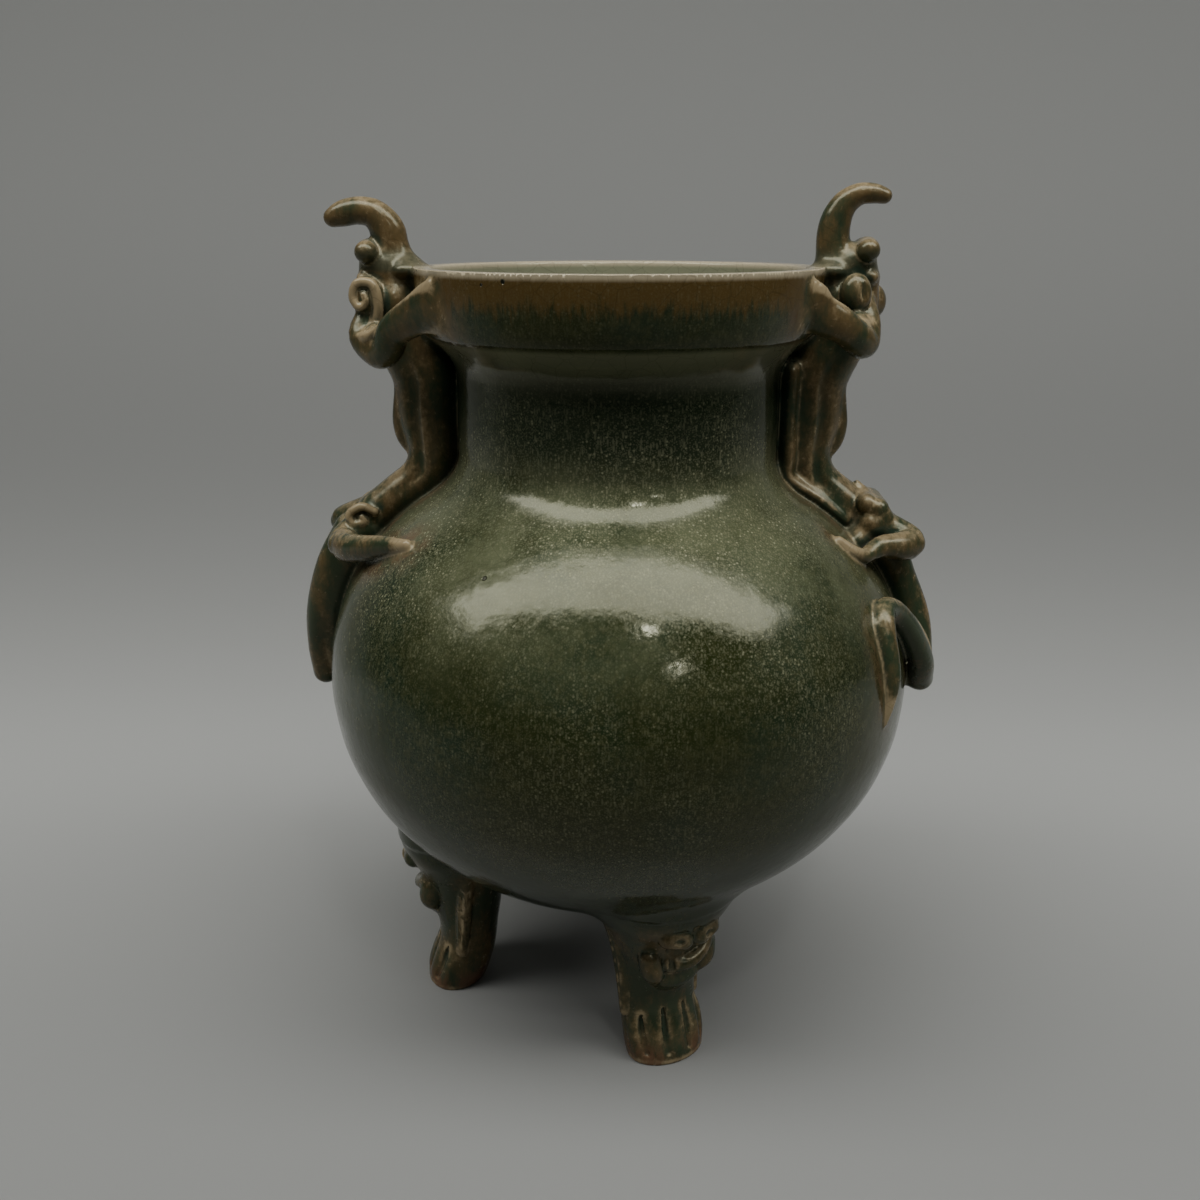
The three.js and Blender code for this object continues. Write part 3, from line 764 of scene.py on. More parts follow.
@dataclass
class BeastLeg:
    """One leg: trunk, toes, and a beast mask under the belly.

    Attributes:
        name: Name for the log.
        turn: Degrees round the ring of legs from +X.
        shift: How far the middle of the ring lies from the axis of the pot, along X.
        ring: Radius of the ring.
        toes: Number of toes.
    """

    SEAT = 8.0       # reach of the soft hollow where the leg meets the belly
    FAN = 2.5        # angle over which the toes are spread, in radians

    name: str
    turn: float
    shift: float = -8.0
    ring: float = 41.5
    toes: int = 5

    def rod(self, knots: list[Knot], reach: float = 1.2, cut: bool = False) -> Stroke:
        """A rod through knots given as out, across, height, half width and half depth."""
        places = [np.array([self.ring + k[0], k[1], k[2]], float) for k in knots]
        return Stroke(places, [k[3] for k in knots], [k[-1] for k in knots], reach, cut)

    def lump(self, place: Spot, sizes: Spot, lean: float = 0.0, reach: float = 1.0,
             cut: bool = False) -> Lump:
        """A rounded lump at out, across and height, leaning forward by some degrees."""
        spot = np.array([self.ring + place[0], place[1], place[2]], float)
        return Lump(spot, sizes, rotation(lean, "Y"), reach, cut)

    def trunk(self) -> list[Form]:
        """The trunk and flared foot in one, with a strip of fur down each side.

        Returns:
            The forms, facing along +X.
        """
        forms: list[Form] = [self.rod([
            (3.8, 0, -3.5, 11.4, 7.6), (3.2, 0, 0.6, 12.0, 8.6), (1.6, 0, 4.4, 12.2, 9.4),
            (-0.4, 0, 10.6, 12.0, 9.4), (-1.5, 0, 15.5, 11.7, 9.2), (-1.8, 0, 21, 11.8, 9.5),
            (-1.6, 0, 28, 12.4, 10.8), (-0.9, 0, 37, 14.0, 12.6), (0, 0, 47, 17.6, 15.0),
            (1.5, 0, 56, 22.0, 18.0),
        ], 2.0)]
        for side in Side:
            s = side.value
            forms.append(self.rod([
                (-3.2, s * 14.0, 43, 2.8, 2.8), (-2.2, s * 12.3, 33, 2.8, 2.6),
                (-1.4, s * 11.4, 23, 2.6, 2.4), (-0.6, s * 11.6, 14.5, 1.8, 1.8),
            ], 0.8))
            for line in (-1.2, 1.0):
                forms.append(self.rod([
                    (-2.8 + line, s * 15.7, 38, 0.4, 0.5), (-1.9 + line, s * 14.4, 28, 0.5, 0.6),
                    (-1.0 + line, s * 13.7, 17, 0.4, 0.5),
                ], 0.7, True))
        return forms

    def paw(self) -> list[Form]:
        """Low toes fanned round the front of the foot with shallow grooves between them.

        Returns:
            The forms, facing along +X.
        """
        forms: list[Form] = []
        for step in range(2 * self.toes - 1):
            angle = (step / (2 * self.toes - 2) - 0.5) * self.FAN
            co, si = math.cos(angle), math.sin(angle)
            groove = step % 2 == 1
            girth = 0.8 if groove else 2.4
            sink = -0.1 if groove else 1.75
            top = 15.0 + 1.6 * math.cos(2 * angle)
            low, sole = (6.4, 3.8) if groove else (4.4, 1.0)
            forms.append(self.rod([
                ((9.3 - sink - 0.8) * co - 1.5, (11.7 - sink - 0.8) * si, top,
                 girth * 0.5, girth * 0.5),
                ((9.4 - sink) * co - 0.4, (12.0 - sink) * si, 10.6, girth, girth),
                ((9.4 - sink) * co + 1.6, (12.2 - sink) * si, low, girth, girth),
                ((8.8 - sink - 0.5) * co + 3.0, (12.0 - sink - 0.5) * si, sole,
                 girth * 0.8, girth * 0.8),
            ], 1.2, groove))
        return forms

    def mask(self) -> list[Form]:
        """Two blocks for the eyes, an open mouth, cheeks and a lower lip curling up one side.

        Returns:
            The forms, facing along +X.
        """
        forms: list[Form] = [
            self.rod([(2.0, 0, 47.5, 9.5, 6.0), (9.0, 0, 46.5, 8.8, 5.4),
                      (12.6, 0, 44.8, 7.6, 4.0)], 2.0),
            self.rod([(3.0, 0, 34.5, 9.0, 5.0), (8.0, 0, 34.2, 8.0, 4.0),
                      (11.0, 0, 34.4, 6.4, 2.6)], 1.6),
            self.rod([(10.8, -3.6, 33.8, 2.2, 2.4), (12.2, 1.0, 34.4, 2.2, 2.6),
                      (11.8, 5.4, 35.6, 2.0, 2.4), (10.4, 8.4, 37.8, 1.9, 2.2),
                      (9.2, 9.8, 41.0, 1.9, 2.0), (8.4, 10.4, 45.0, 1.8, 1.9)], 0.9),
            self.lump((7.4, 0, 28.4), (4.6, 8.0, 4.4), 0, 3.0),
            self.rod([(7.0, 0, 49.5, 9.0, 4.6), (13.6, 0, 51.6, 9.2, 3.8)], 4.0),
        ]
        for side in Side:
            s = side.value
            forms += [
                self.rod([(15.2, s * 2.7, 44.3, 3.1, 3.4), (14.0, s * 6.9, 45.2, 3.0, 3.1)], 0.6),
                self.rod([(8.4, s * 9.4, 36.6, 3.2, 3.6), (8.6, s * 8.6, 32.4, 3.4, 3.8),
                          (7.8, s * 6.8, 28.8, 2.2, 2.4)], 0.6),
                self.lump((18.0, s * 5.4, 45.0), (1.2, 2.0, 1.2), 0, 0.8, True),
            ]
        forms += [
            self.rod([(18.2, 0.0, 48.5, 0.5, 0.9), (18.6, 0.5, 44.0, 0.5, 1.2),
                      (17.4, -0.2, 40.6, 0.5, 0.9)], 0.5, True),
            self.rod([(12.8, -5.0, 39.0, 1.5, 1.7), (14.6, -0.8, 39.0, 1.8, 2.2),
                      (13.8, 3.4, 39.6, 1.8, 2.1), (12.2, 6.4, 40.6, 1.1, 1.2)], 0.9, True),
            self.rod([(13.0, -4.4, 37.4, 0.9, 1.4), (12.8, -4.2, 31.6, 0.8, 1.2)], 0.8, True),
        ]
        return forms

    def figure(self) -> Figure:
        """The whole leg, turned to its place on the ring of legs.

        Returns:
            Its forms as one figure, cuts last.
        """
        forms = self.trunk() + self.paw() + self.mask()
        forms.sort(key=lambda form: form.cut)
        return Figure(self.name, turned_forms(forms, self.turn, self.shift), self.SEAT)


def turned_forms(forms: list[Form], degrees: float, shift: float) -> list[Form]:
    """Forms turned about the pot's axis and then moved along X.

    Args:
        forms: Forms made facing along +X.
        degrees: Turn about the vertical axis.
        shift: Move along X, in millimetres.

    Returns:
        New forms in their final places.
    """
    turn = rotation(degrees, "Z")
    move = np.array([shift, 0.0, 0.0])
    done: list[Form] = []
    for form in forms:
        if isinstance(form, Stroke):
            places = [turn @ place + move for place in form.places]
            done.append(Stroke(places, form.wide, form.deep, form.reach, form.cut,
                               turn @ form.across))
        else:
            place = turn @ form.place + move
            done.append(Lump(place, form.sizes, form.turn @ turn.T, form.reach, form.cut))
    return done


@dataclass
class Censer:
    """The whole fired piece as one signed distance in millimetres, negative in the clay."""

    LIP_EDGE = 2.0       # rounding of the edge of the lip
    SOLE_EDGE = 0.8      # and of the edges of the soles
    STRIDE = 0.6         # longest move in one round of settling

    pot: Pot
    figures: list[Figure]

    def __post_init__(self) -> None:
        """Measures the distance maps of the pot and of its hollow."""
        self.outer = TurnedShape(self.pot.outside())
        self.inner = TurnedShape(self.pot.inside())

    def distance(self, spots: np.ndarray) -> np.ndarray:
        """Signed distance from groups of places to the surface.

        Args:
            spots: Groups of nearby places, an array of groups by places by 3.

        Returns:
            The distances as an array of groups by places.
        """
        x, y, z = spots[..., 0], spots[..., 1], spots[..., 2]
        radius = np.sqrt(x * x + y * y)
        uneven = self.unevenness(np.arctan2(y, x), z)
        found = self.outer.distance(radius - uneven, z)
        low, high = spots.min(1), spots.max(1)
        for figure in self.figures:
            near = np.nonzero(((high > figure.low) & (low < figure.high)).all(1))[0]
            if len(near):
                found[near] = soft_min(found[near], figure.distance(spots[near]), figure.seat)
        hollow = self.inner.distance(radius, z)
        found = soft_max(found, -hollow, self.LIP_EDGE)
        return soft_max(found, -z, self.SOLE_EDGE)

    @staticmethod
    def unevenness(turn: np.ndarray, height: np.ndarray) -> np.ndarray:
        """How far the thrown wall stands out of true: slow waves and fine rings, less at the band.

        Args:
            turn: Angles round the pot, in radians.
            height: Heights above the ground.

        Returns:
            The distances outwards, in millimetres.
        """
        wave = (0.22 * np.sin(2 * turn + height * 0.021 + 0.6)
                + 0.14 * np.sin(3 * turn - height * 0.05)
                + 0.05 * np.sin(height * 0.42 + 2 * turn))
        fade = np.clip((216.0 - height) / 20.0, 0.15, 1.0)
        return (wave * fade - 0.1).astype(np.float32)

    def single(self, spots: np.ndarray) -> np.ndarray:
        """Signed distance at separate places, one row each."""
        return self.distance(spots[:, None, :])[:, 0]

    def slope(self, spots: np.ndarray, step: float = 0.12) -> np.ndarray:
        """Outward unit direction of the surface at places near it.

        Args:
            spots: Places, one row each.
            step: Distance between samples, in millimetres.

        Returns:
            Unit directions, one row each.
        """
        corners = np.array([[1, -1, -1], [-1, -1, 1], [-1, 1, -1], [1, 1, 1]], np.float32)
        total = np.zeros_like(spots)
        for corner in corners:
            total += self.single(spots + corner * np.float32(step))[:, None] * corner
        length = np.linalg.norm(total, axis=1, keepdims=True)
        return total / np.maximum(length, 1e-9)

    def settle(self, spots: np.ndarray, rounds: int = 3) -> np.ndarray:
        """Moves places onto the surface.

        Args:
            spots: Places near the surface, one row each.
            rounds: Number of steps towards it.

        Returns:
            Places on the surface.
        """
        for _ in range(rounds):
            move = np.clip(self.single(spots), -self.STRIDE, self.STRIDE)
            spots = spots - move[:, None] * self.slope(spots)
        return spots


class Skin:
    """Turns a signed distance into a closed mesh of four-sided faces."""

    BLOCK = 8            # cells along each side of a block
    MARGIN = 3           # cells kept free round the space to search
    SAFETY = 1.35        # the distance may be off by this share far from the surface
    BATCH = 1500         # blocks measured at a time
    CLOSE = 0.02         # nearest that a crossing may come to an end of its edge

    def __init__(self, shape: Censer, low: np.ndarray, high: np.ndarray, cell: float) -> None:
        """Sets up the grid.

        Args:
            shape: The shape to mesh.
            low: Lower corner of the space to search, in millimetres.
            high: Upper corner.
            cell: Size of a cell.
        """
        self.shape = shape
        self.cell = cell
        self.low = low - self.MARGIN * cell
        span = high + self.MARGIN * cell - self.low
        self.blocks = np.ceil(span / (cell * self.BLOCK)).astype(int)
        self.counts = self.blocks * self.BLOCK

    def sample(self) -> np.ndarray:
        """Distances over the grid, exact near the surface and only signed far from it.

        Returns:
            The distances as an array over x, y and z.
        """
        block = self.BLOCK
        size = self.cell * block
        grid = np.stack(np.meshgrid(*[np.arange(n) for n in self.blocks], indexing="ij"), -1)
        corners = self.low + grid.reshape(-1, 3) * size
        middles = (corners + (size - self.cell) / 2).astype(np.float32)
        rough = self.shape.single(middles)
        reach = size * 0.5 * math.sqrt(3) * self.SAFETY
        near = np.nonzero(np.abs(rough) < reach)[0]
        field_values = np.where(rough < 0, -FAR, FAR).astype(np.float32)
        field_values = np.repeat(field_values[:, None], block ** 3, 1)
        steps = np.stack(np.meshgrid(*[np.arange(block)] * 3, indexing="ij"), -1).reshape(-1, 3)
        offsets = (steps * self.cell).astype(np.float32)
        for start in range(0, len(near), self.BATCH):
            part = near[start:start + self.BATCH]
            spots = corners[part].astype(np.float32)[:, None, :] + offsets[None]
            field_values[part] = self.shape.distance(spots)
        LOG.info("Measured %d of %d blocks", len(near), len(rough))
        whole = field_values.reshape(*self.blocks, block, block, block)
        return whole.transpose(0, 3, 1, 4, 2, 5).reshape(self.counts)

    def faces(self) -> tuple[np.ndarray, np.ndarray]:
        """Corners and four-sided faces of the surface.

        Returns:
            Places in millimetres, one row each, and faces as rows of four corner numbers.
        """
        values = self.sample()
        solid = values < 0
        some = np.zeros(tuple(self.counts - 1), bool)
        full = np.ones_like(some)
        ends = [(slice(0, -1), slice(1, None))] * 3
        corners = [(a, b, c) for a in (0, 1) for b in (0, 1) for c in (0, 1)]
        for a, b, c in corners:
            view = solid[ends[0][a], ends[1][b], ends[2][c]]
            some |= view
            full &= view
        cells = np.nonzero(some & ~full)
        numbers = np.full(some.shape, -1, np.int32)
        numbers[cells] = np.arange(len(cells[0]))
        held = {k: values[cells[0] + k[0], cells[1] + k[1], cells[2] + k[2]] for k in corners}
        total = np.zeros((len(cells[0]), 3))
        hits = np.zeros(len(cells[0]))
        for axis in range(3):
            for first in corners:
                if first[axis]:
                    continue
                second = tuple(1 if k == axis else first[k] for k in range(3))
                a, b = held[first], held[second]
                crosses = (a < 0) != (b < 0)
                share = np.where(crosses, a / np.where(crosses, a - b, 1), 0)
                share = share.clip(self.CLOSE, 1 - self.CLOSE)
                for k in range(3):
                    place = share if k == axis else float(first[k])
                    total[:, k] += np.where(crosses, place, 0)
                hits += crosses
        places = self.low + (np.stack(cells, 1) + total / hits[:, None]) * self.cell
        return places, self._quads(solid, numbers)

    def _quads(self, solid: np.ndarray, numbers: np.ndarray) -> np.ndarray:
        """Faces across every grid edge whose ends lie on both sides of the surface.

        Args:
            solid: True at the places of the grid inside the clay.
            numbers: Number of the corner in each cell, or -1.

        Returns:
            Rows of four corner numbers, turned so that they face outwards.
        """
        faces = []
        for axis in range(3):
            others = [k for k in range(3) if k != axis]
            low_view = [slice(1, -1)] * 3
            high_view = [slice(1, -1)] * 3
            low_view[axis], high_view[axis] = slice(0, -1), slice(1, None)
            low_solid, high_solid = solid[tuple(low_view)], solid[tuple(high_view)]
            spots = np.nonzero(low_solid != high_solid)
            place = [spots[k] + (0 if k == axis else 1) for k in range(3)]
            ring = []
            for da, db in ((-1, -1), (0, -1), (0, 0), (-1, 0)):
                at = list(place)
                at[others[0]] = at[others[0]] + da
                at[others[1]] = at[others[1]] + db
                ring.append(numbers[tuple(at)])
            quad = np.stack(ring, 1)
            flip = low_solid[spots] if axis != 1 else ~low_solid[spots]
            quad[~flip] = quad[~flip][:, ::-1]
            faces.append(quad)
        return np.concatenate(faces)


@dataclass
class CenserMesh:
    """Makes the censer's mesh object with its surface measures for the glaze.

    Attributes:
        censer: The shape.
        detail: How fine the mesh is.
    """

    HOLLOW_REACH = 2.6       # how far out narrow hollows are felt for, in millimetres
    WIDE_REACH = 7.0         # and wide ones
    RIDGE_DEPTH = 2.2        # how far in ridges are felt for
    NEARBY = 8               # how far round a figure its distance is worked out
    INSIDE_BOX = 0.01        # how far the mesh keeps inside the box of the solid

    censer: Censer
    detail: Detail

    def build(self, name: str) -> bpy.types.Object:
        """Meshes the shape, thins it, settles it on the surface and measures it.

        Args:
            name: Name of the piece.

        Returns:
            The finished object, in metres.
        """
        low, high = (np.array(corner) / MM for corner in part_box("censer"))
        cell, triangles = self.detail.value
        places, quads = Skin(self.censer, low, high, cell).faces()
        LOG.info("Raw skin: %d faces", len(quads))
        rough = self.new_mesh(name + "_rough", places, quads)
        thin = self.thinned(rough, triangles / (2 * len(quads)))
        count = len(thin.vertices)
        spots = np.empty(count * 3, np.float32)
        thin.vertices.foreach_get("co", spots)
        spots = self.censer.settle(spots.reshape(-1, 3))
        spots = np.clip(spots, low + self.INSIDE_BOX, high - self.INSIDE_BOX).astype(np.float32)
        thin.vertices.foreach_set("co", (spots * MM).ravel())
        normals = self.censer.slope(spots)
        self.measure(thin, spots, normals)
        thin.polygons.foreach_set("use_smooth", np.ones(len(thin.polygons), bool))
        thin.update()
        thin.normals_split_custom_set_from_vertices(normals.astype(float))
        thin.name = name
        piece = bpy.data.objects.new(name, thin)
        bpy.context.scene.collection.objects.link(piece)
        LOG.info("%s: %d triangles", name, len(thin.polygons))
        return piece

    @staticmethod
    def new_mesh(name: str, places: np.ndarray, quads: np.ndarray) -> bpy.types.Mesh:
        """A mesh from arrays of corners and four-sided faces.

        Args:
            name: Name of the mesh.
            places: Corners, one row each.
            quads: Faces as rows of four corner numbers.

        Returns:
            The mesh.
        """
        mesh = bpy.data.meshes.new(name)
        mesh.vertices.add(len(places))
        mesh.vertices.foreach_set("co", places.astype(np.float32).ravel())
        mesh.loops.add(len(quads) * 4)
        mesh.loops.foreach_set("vertex_index", quads.astype(np.int32).ravel())
        mesh.polygons.add(len(quads))
        mesh.polygons.foreach_set("loop_start", np.arange(0, len(quads) * 4, 4, dtype=np.int32))
        mesh.update(calc_edges=True)
        mesh.validate()
        return mesh

    @staticmethod
    def thinned(mesh: bpy.types.Mesh, ratio: float) -> bpy.types.Mesh:
        """A copy of a mesh with fewer triangles, fewest where it is smooth.

        Args:
            mesh: The mesh, which is removed.
            ratio: Share of the triangles to keep.

        Returns:
            The thinned mesh.
        """
        holder = bpy.data.objects.new("thinning", mesh)
        bpy.context.scene.collection.objects.link(holder)
        change = holder.modifiers.new("thin", "DECIMATE")
        change.ratio = min(1.0, ratio)
        change.use_collapse_triangulate = True
        view = bpy.context.evaluated_depsgraph_get()
        done = bpy.data.meshes.new_from_object(holder.evaluated_get(view))
        bpy.data.objects.remove(holder)
        bpy.data.meshes.remove(mesh)
        return done

    def measure(self, mesh: bpy.types.Mesh, spots: np.ndarray, normals: np.ndarray) -> None:
        """Stores how hollow, how ridged and how near a figure each corner of the mesh is.

        Args:
            mesh: Mesh to store the measures on.
            spots: Its corners in millimetres.
            normals: Outward directions at the corners.
        """
        single = self.censer.single
        near_gap, far_gap, depth = self.HOLLOW_REACH, self.WIDE_REACH, self.RIDGE_DEPTH
        hollow = 1 - single(spots + normals * np.float32(near_gap)) / near_gap
        wide = 1 - single(spots + normals * np.float32(far_gap)) / far_gap
        ridge = 1 + single(spots - normals * np.float32(depth)) / depth
        far = np.full(len(spots), FAR, np.float32)
        for figure in self.censer.figures:
            low, high = figure.low - self.NEARBY, figure.high + self.NEARBY
            near = np.nonzero(((spots > low) & (spots < high)).all(1))[0]
            if len(near):
                far[near] = np.minimum(far[near], figure.distance(spots[near][:, None, :])[:, 0])
        measures = {"hollow": hollow, "wide": wide, "ridge": ridge, "figure": far.clip(-20, 40)}
        for name, values in measures.items():
            layer = mesh.attributes.new(name, "FLOAT", "POINT")
            layer.data.foreach_set("value", values.astype(np.float32))


@dataclass(frozen=True)
class CeladonGlaze:
    """Colours of the glaze by how thick it lies and of what shows through it, with a few painted
    light and shade tones.
    """

    olive: Colour = (0.0158, 0.0212, 0.0052)
    teal: Colour = (0.011, 0.0235, 0.012)
    grain: Colour = (0.05, 0.051, 0.02)
    # Pale frosted glaze of the shoulder, made paler as a painted glow round the overhead highlight
    frost_and_glow: Colour = (0.105, 0.115, 0.062)
    # Painted shadow on the neck, where the band overhangs it
    deep: Colour = (0.005, 0.012, 0.006)
    moss: Colour = (0.028, 0.042, 0.021)
    brown: Colour = (0.102, 0.069, 0.029)
    # Ochre of worn ridges, also used as painted top light on upward faces of the figures
    ochre: Colour = (0.3, 0.235, 0.132)
    bare: Colour = (0.12, 0.055, 0.03)
    band: Colour = (0.085, 0.052, 0.015)
    pool: Colour = (0.016, 0.036, 0.025)
    speck: Colour = (0.2, 0.2, 0.12)
    lip: Colour = (0.42, 0.36, 0.24)
    inner: Colour = (0.2, 0.205, 0.13)
    halo: Colour = (0.12, 0.068, 0.035)
    crack: Colour = (0.008, 0.009, 0.005)
    sheen: Colour = (1.0, 0.99, 0.72)
    plain: Colour = (0.2, 0.235, 0.135)
    roughness: float = 0.1
    ior: float = 1.46
    relief: float = 0.45
    pits: tuple[tuple[float, float, float, float], ...] = (
        (-0.0308, -0.0589, 0.1515, 0.0009), (-0.0255, -0.0495, 0.2220, 0.0008),
        (-0.0311, -0.0461, 0.2211, 0.0006),
    )

    def material(self) -> bpy.types.Material:
        """Builds the glaze.

        Returns:
            The material, driven by the measures stored on the mesh and by height.
        """
        material = bpy.data.materials.new("celadon_glaze")
        material.use_nodes = True
        return GlazeNodes(material.node_tree, self).finish(material)


class GlazeNodes:
    """The node tree of the glaze, made step by step.

    Each pair gives the heights, in metres, between which a change of tone comes in or fades out.
    """

    SOLES_END = (0.0085, 0.003)
    MASKS_END = (0.053, 0.044)
    LEGS_END = (0.075, 0.055)
    TAILS_START = (0.075, 0.09)
    UNDERSIDE = (0.1, 0.05)
    HALO_START = (0.085, 0.105)
    SPECKS_START = (0.115, 0.155)
    SPECKS_END = (0.2, 0.166)
    # Heights of the pale frost and its painted highlight glow on the shoulder
    FROST_GLOW_START = (0.118, 0.158)
    FROST_GLOW_END = (0.19, 0.168)
    # Heights of the painted shadow on the neck under the band
    NECK_SHADE_START = (0.171, 0.183)
    NECK_SHADE_END = (0.207, 0.202)
    MOUTH_START = (0.192, 0.21)
    HEADS_START = (0.195, 0.215)
    BAND_START = (0.2065, 0.21)
    BAND_FADE = (0.2095, 0.2215)
    LIP_START = (0.2208, 0.224)
    HORN_START = (0.2215, 0.2235)
    HORN_END = (0.2305, 0.2265)
    THROUGH_WALL = (0.0515, 0.0535)      # radii, from the inner face of the band to the outer

    def __init__(self, tree: bpy.types.NodeTree, glaze: CeladonGlaze) -> None:
        """Clears the tree and makes the shared inputs.

        Args:
            tree: Node tree of the material.
            glaze: Colours and roughness.
        """
        tree.nodes.clear()
        self.tree = tree
        self.glaze = glaze
        self.place = self.node("ShaderNodeNewGeometry").outputs["Position"]
        split = self.node("ShaderNodeSeparateXYZ", self.place)
        self.x, self.y, self.z = (split.outputs[k] for k in range(3))

    def node(self, kind: str, *inputs: Number, **settings: str | bool) -> bpy.types.Node:
        """Adds a node, sets its properties and feeds its inputs in order.

        Args:
            kind: Type of the node.
            *inputs: Numbers or sockets for its inputs.
            **settings: Its properties by name.

        Returns:
            The node.
        """
        made = self.tree.nodes.new(kind)
        for name, value in settings.items():
            setattr(made, name, value)
        for k, value in enumerate(inputs):
            self.feed(made.inputs[k], value)
        return made

    def feed(self, socket: Socket, value: Number | Knot) -> None:
        """Links a socket or sets its value.

        Args:
            socket: Input to feed.
            value: A number, a colour or another node's output.
        """
        if isinstance(value, bpy.types.NodeSocket):
            self.tree.links.new(value, socket)
        else:
            socket.default_value = value

    def math(self, how: str, a: Number, b: Number = 0.0, clamp: bool = False) -> Socket:
        """One arithmetic step."""
        return self.node("ShaderNodeMath", a, b, operation=how, use_clamp=clamp).outputs[0]

    def ramp(self, value: Number, low: float, high: float, first: float = 0.0,
             last: float = 1.0) -> Socket:
        """A smooth step of a value from one number to another.

        Args:
            value: The value.
            low: Value at which the step starts; it may be above high.
            high: Value at which it ends.
            first: Result at the start.
            last: Result at the end.

        Returns:
            The result.
        """
        made = self.node("ShaderNodeMapRange", value, low, high, first, last)
        made.interpolation_type = "SMOOTHSTEP"
        return made.outputs[0]

    def mix(self, share: Number, a: Tone, b: Tone) -> Socket:
        """Blends two colours.

        Args:
            share: 0 for the first alone, 1 for the second.
            a: First colour.
            b: Second colour.

        Returns:
            The blend.
        """
        made = self.tree.nodes.new("ShaderNodeMix")
        made.data_type = "RGBA"
        self.feed(made.inputs[0], share)
        self.feed(made.inputs[6], (*a, 1.0) if isinstance(a, tuple) else a)
        self.feed(made.inputs[7], (*b, 1.0) if isinstance(b, tuple) else b)
        return made.outputs[2]

    def stored(self, name: str) -> Socket:
        """A measure stored on the mesh."""
        return self.node("ShaderNodeAttribute", attribute_name=name).outputs["Fac"]

    def drawn_out(self, share: float) -> Socket:
        """Places with their heights multiplied, so that patterns on them run upright.

        Args:
            share: Number that the height is multiplied by.

        Returns:
            The places.
        """
        made = self.node("ShaderNodeVectorMath", self.place, operation="MULTIPLY")
        made.inputs[1].default_value = (1.0, 1.0, share)
        return made.outputs[0]

    def noise(self, vector: Socket, scale: float, detail: float = 3.0,
              rough: float = 0.55) -> Socket:
        """Soft random cloud between about 0.2 and 0.8.

        Args:
            vector: Places.
            scale: Clouds per metre.
            detail: Number of finer layers.
            rough: Strength of the finer layers.

        Returns:
            The cloud.
        """
        made = self.node("ShaderNodeTexNoise")
        self.feed(made.inputs["Vector"], vector)
        made.inputs["Scale"].default_value = scale
        made.inputs["Detail"].default_value = detail
        made.inputs["Roughness"].default_value = rough
        return made.outputs[0]

    def crackle(self, scale: float) -> Socket:
        """Distance to the nearest line of a net of random cells.

        Args:
            scale: Cells per metre.

        Returns:
            The distance.
        """
        made = self.node("ShaderNodeTexVoronoi", feature="DISTANCE_TO_EDGE")
        self.feed(made.inputs["Vector"], self.place)
        made.inputs["Scale"].default_value = scale
        return made.outputs["Distance"]

    def specks(self, vector: Socket, scale: float, size: float, share: float) -> Socket:
        """Small pale dots, one in some of the cells.

        Args:
            vector: Places.
            scale: Cells per metre.
            size: Radius of a dot as a share of a cell.
            share: Share of the cells that have a dot.

        Returns:
            1 in a dot, 0 between the dots.
        """
        made = self.node("ShaderNodeTexVoronoi", feature="F1")
        self.feed(made.inputs["Vector"], vector)
        made.inputs["Scale"].default_value = scale
        dot = self.ramp(made.outputs["Distance"], size, size * 0.45)
        pick = self.node("ShaderNodeSeparateColor", made.outputs["Color"]).outputs[0]
        return self.math("MULTIPLY", dot, self.ramp(pick, 1 - share, 1 - share + 0.08))

    def times(self, *values: Number) -> Number:
        """Product of several numbers.

        Args:
            *values: The numbers.

        Returns:
            Their product.
        """
        total = values[0]
        for value in values[1:]:
            total = self.math("MULTIPLY", total, value)
        return total

    def swing(self, value: Number, strength: float) -> Number:
        """A random cloud swung about zero."""
        return self.times(self.math("SUBTRACT", value, 0.5), strength)

    def span(self, start: tuple[float, float], end: tuple[float, float]) -> Number:
        """1 between two heights and 0 outside them, with a soft start and end."""
        return self.times(self.ramp(self.z, *start), self.ramp(self.z, *end))

    def wall_tone(self, cloud: Socket, grain: Socket, figure: Socket) -> Socket:
        """Colour of the plain wall: olive and teal clouds, pale frost with a painted highlight glow
        above, brown by the figures, and painted shadow on the neck under the band.

        Args:
            cloud: Large random clouds.
            grain: Fine random grain.
            figure: Distance to the nearest modelled part, in millimetres.

        Returns:
            The colour.
        """
        glaze = self.glaze
        low = self.ramp(self.z, *self.UNDERSIDE, 0.0, 0.4)
        tone = self.mix(self.ramp(self.math("ADD", cloud, low), 0.4, 0.66), glaze.olive, glaze.teal)
        tone = self.mix(self.times(self.ramp(grain, 0.42, 0.7), 0.45), tone, glaze.grain)
        # Pale frost on the shoulder, partly a painted glow of the overhead highlight
        high = self.span(self.FROST_GLOW_START, self.FROST_GLOW_END)
        frost_and_glow = self.times(high, self.ramp(self.noise(self.place, 34.0, 4.0, 0.6), 0.3, 0.66), 0.75)
        tone = self.mix(frost_and_glow, tone, glaze.frost_and_glow)
        around = self.times(self.ramp(figure, 10.0, 0.5), self.ramp(cloud, 0.36, 0.58))
        broken = self.ramp(self.noise(self.drawn_out(0.5), 190.0, 3.0, 0.6), 0.3, 0.6)
        halo = self.times(around, broken, self.ramp(self.z, *self.HALO_START), 0.85)
        tone = self.mix(halo, tone, glaze.halo)
        # Painted shadow: the neck under the overhanging band is darkened towards the deep colour
        neck = self.times(self.span(self.NECK_SHADE_START, self.NECK_SHADE_END), 0.75)
        return self.mix(neck, tone, glaze.deep)

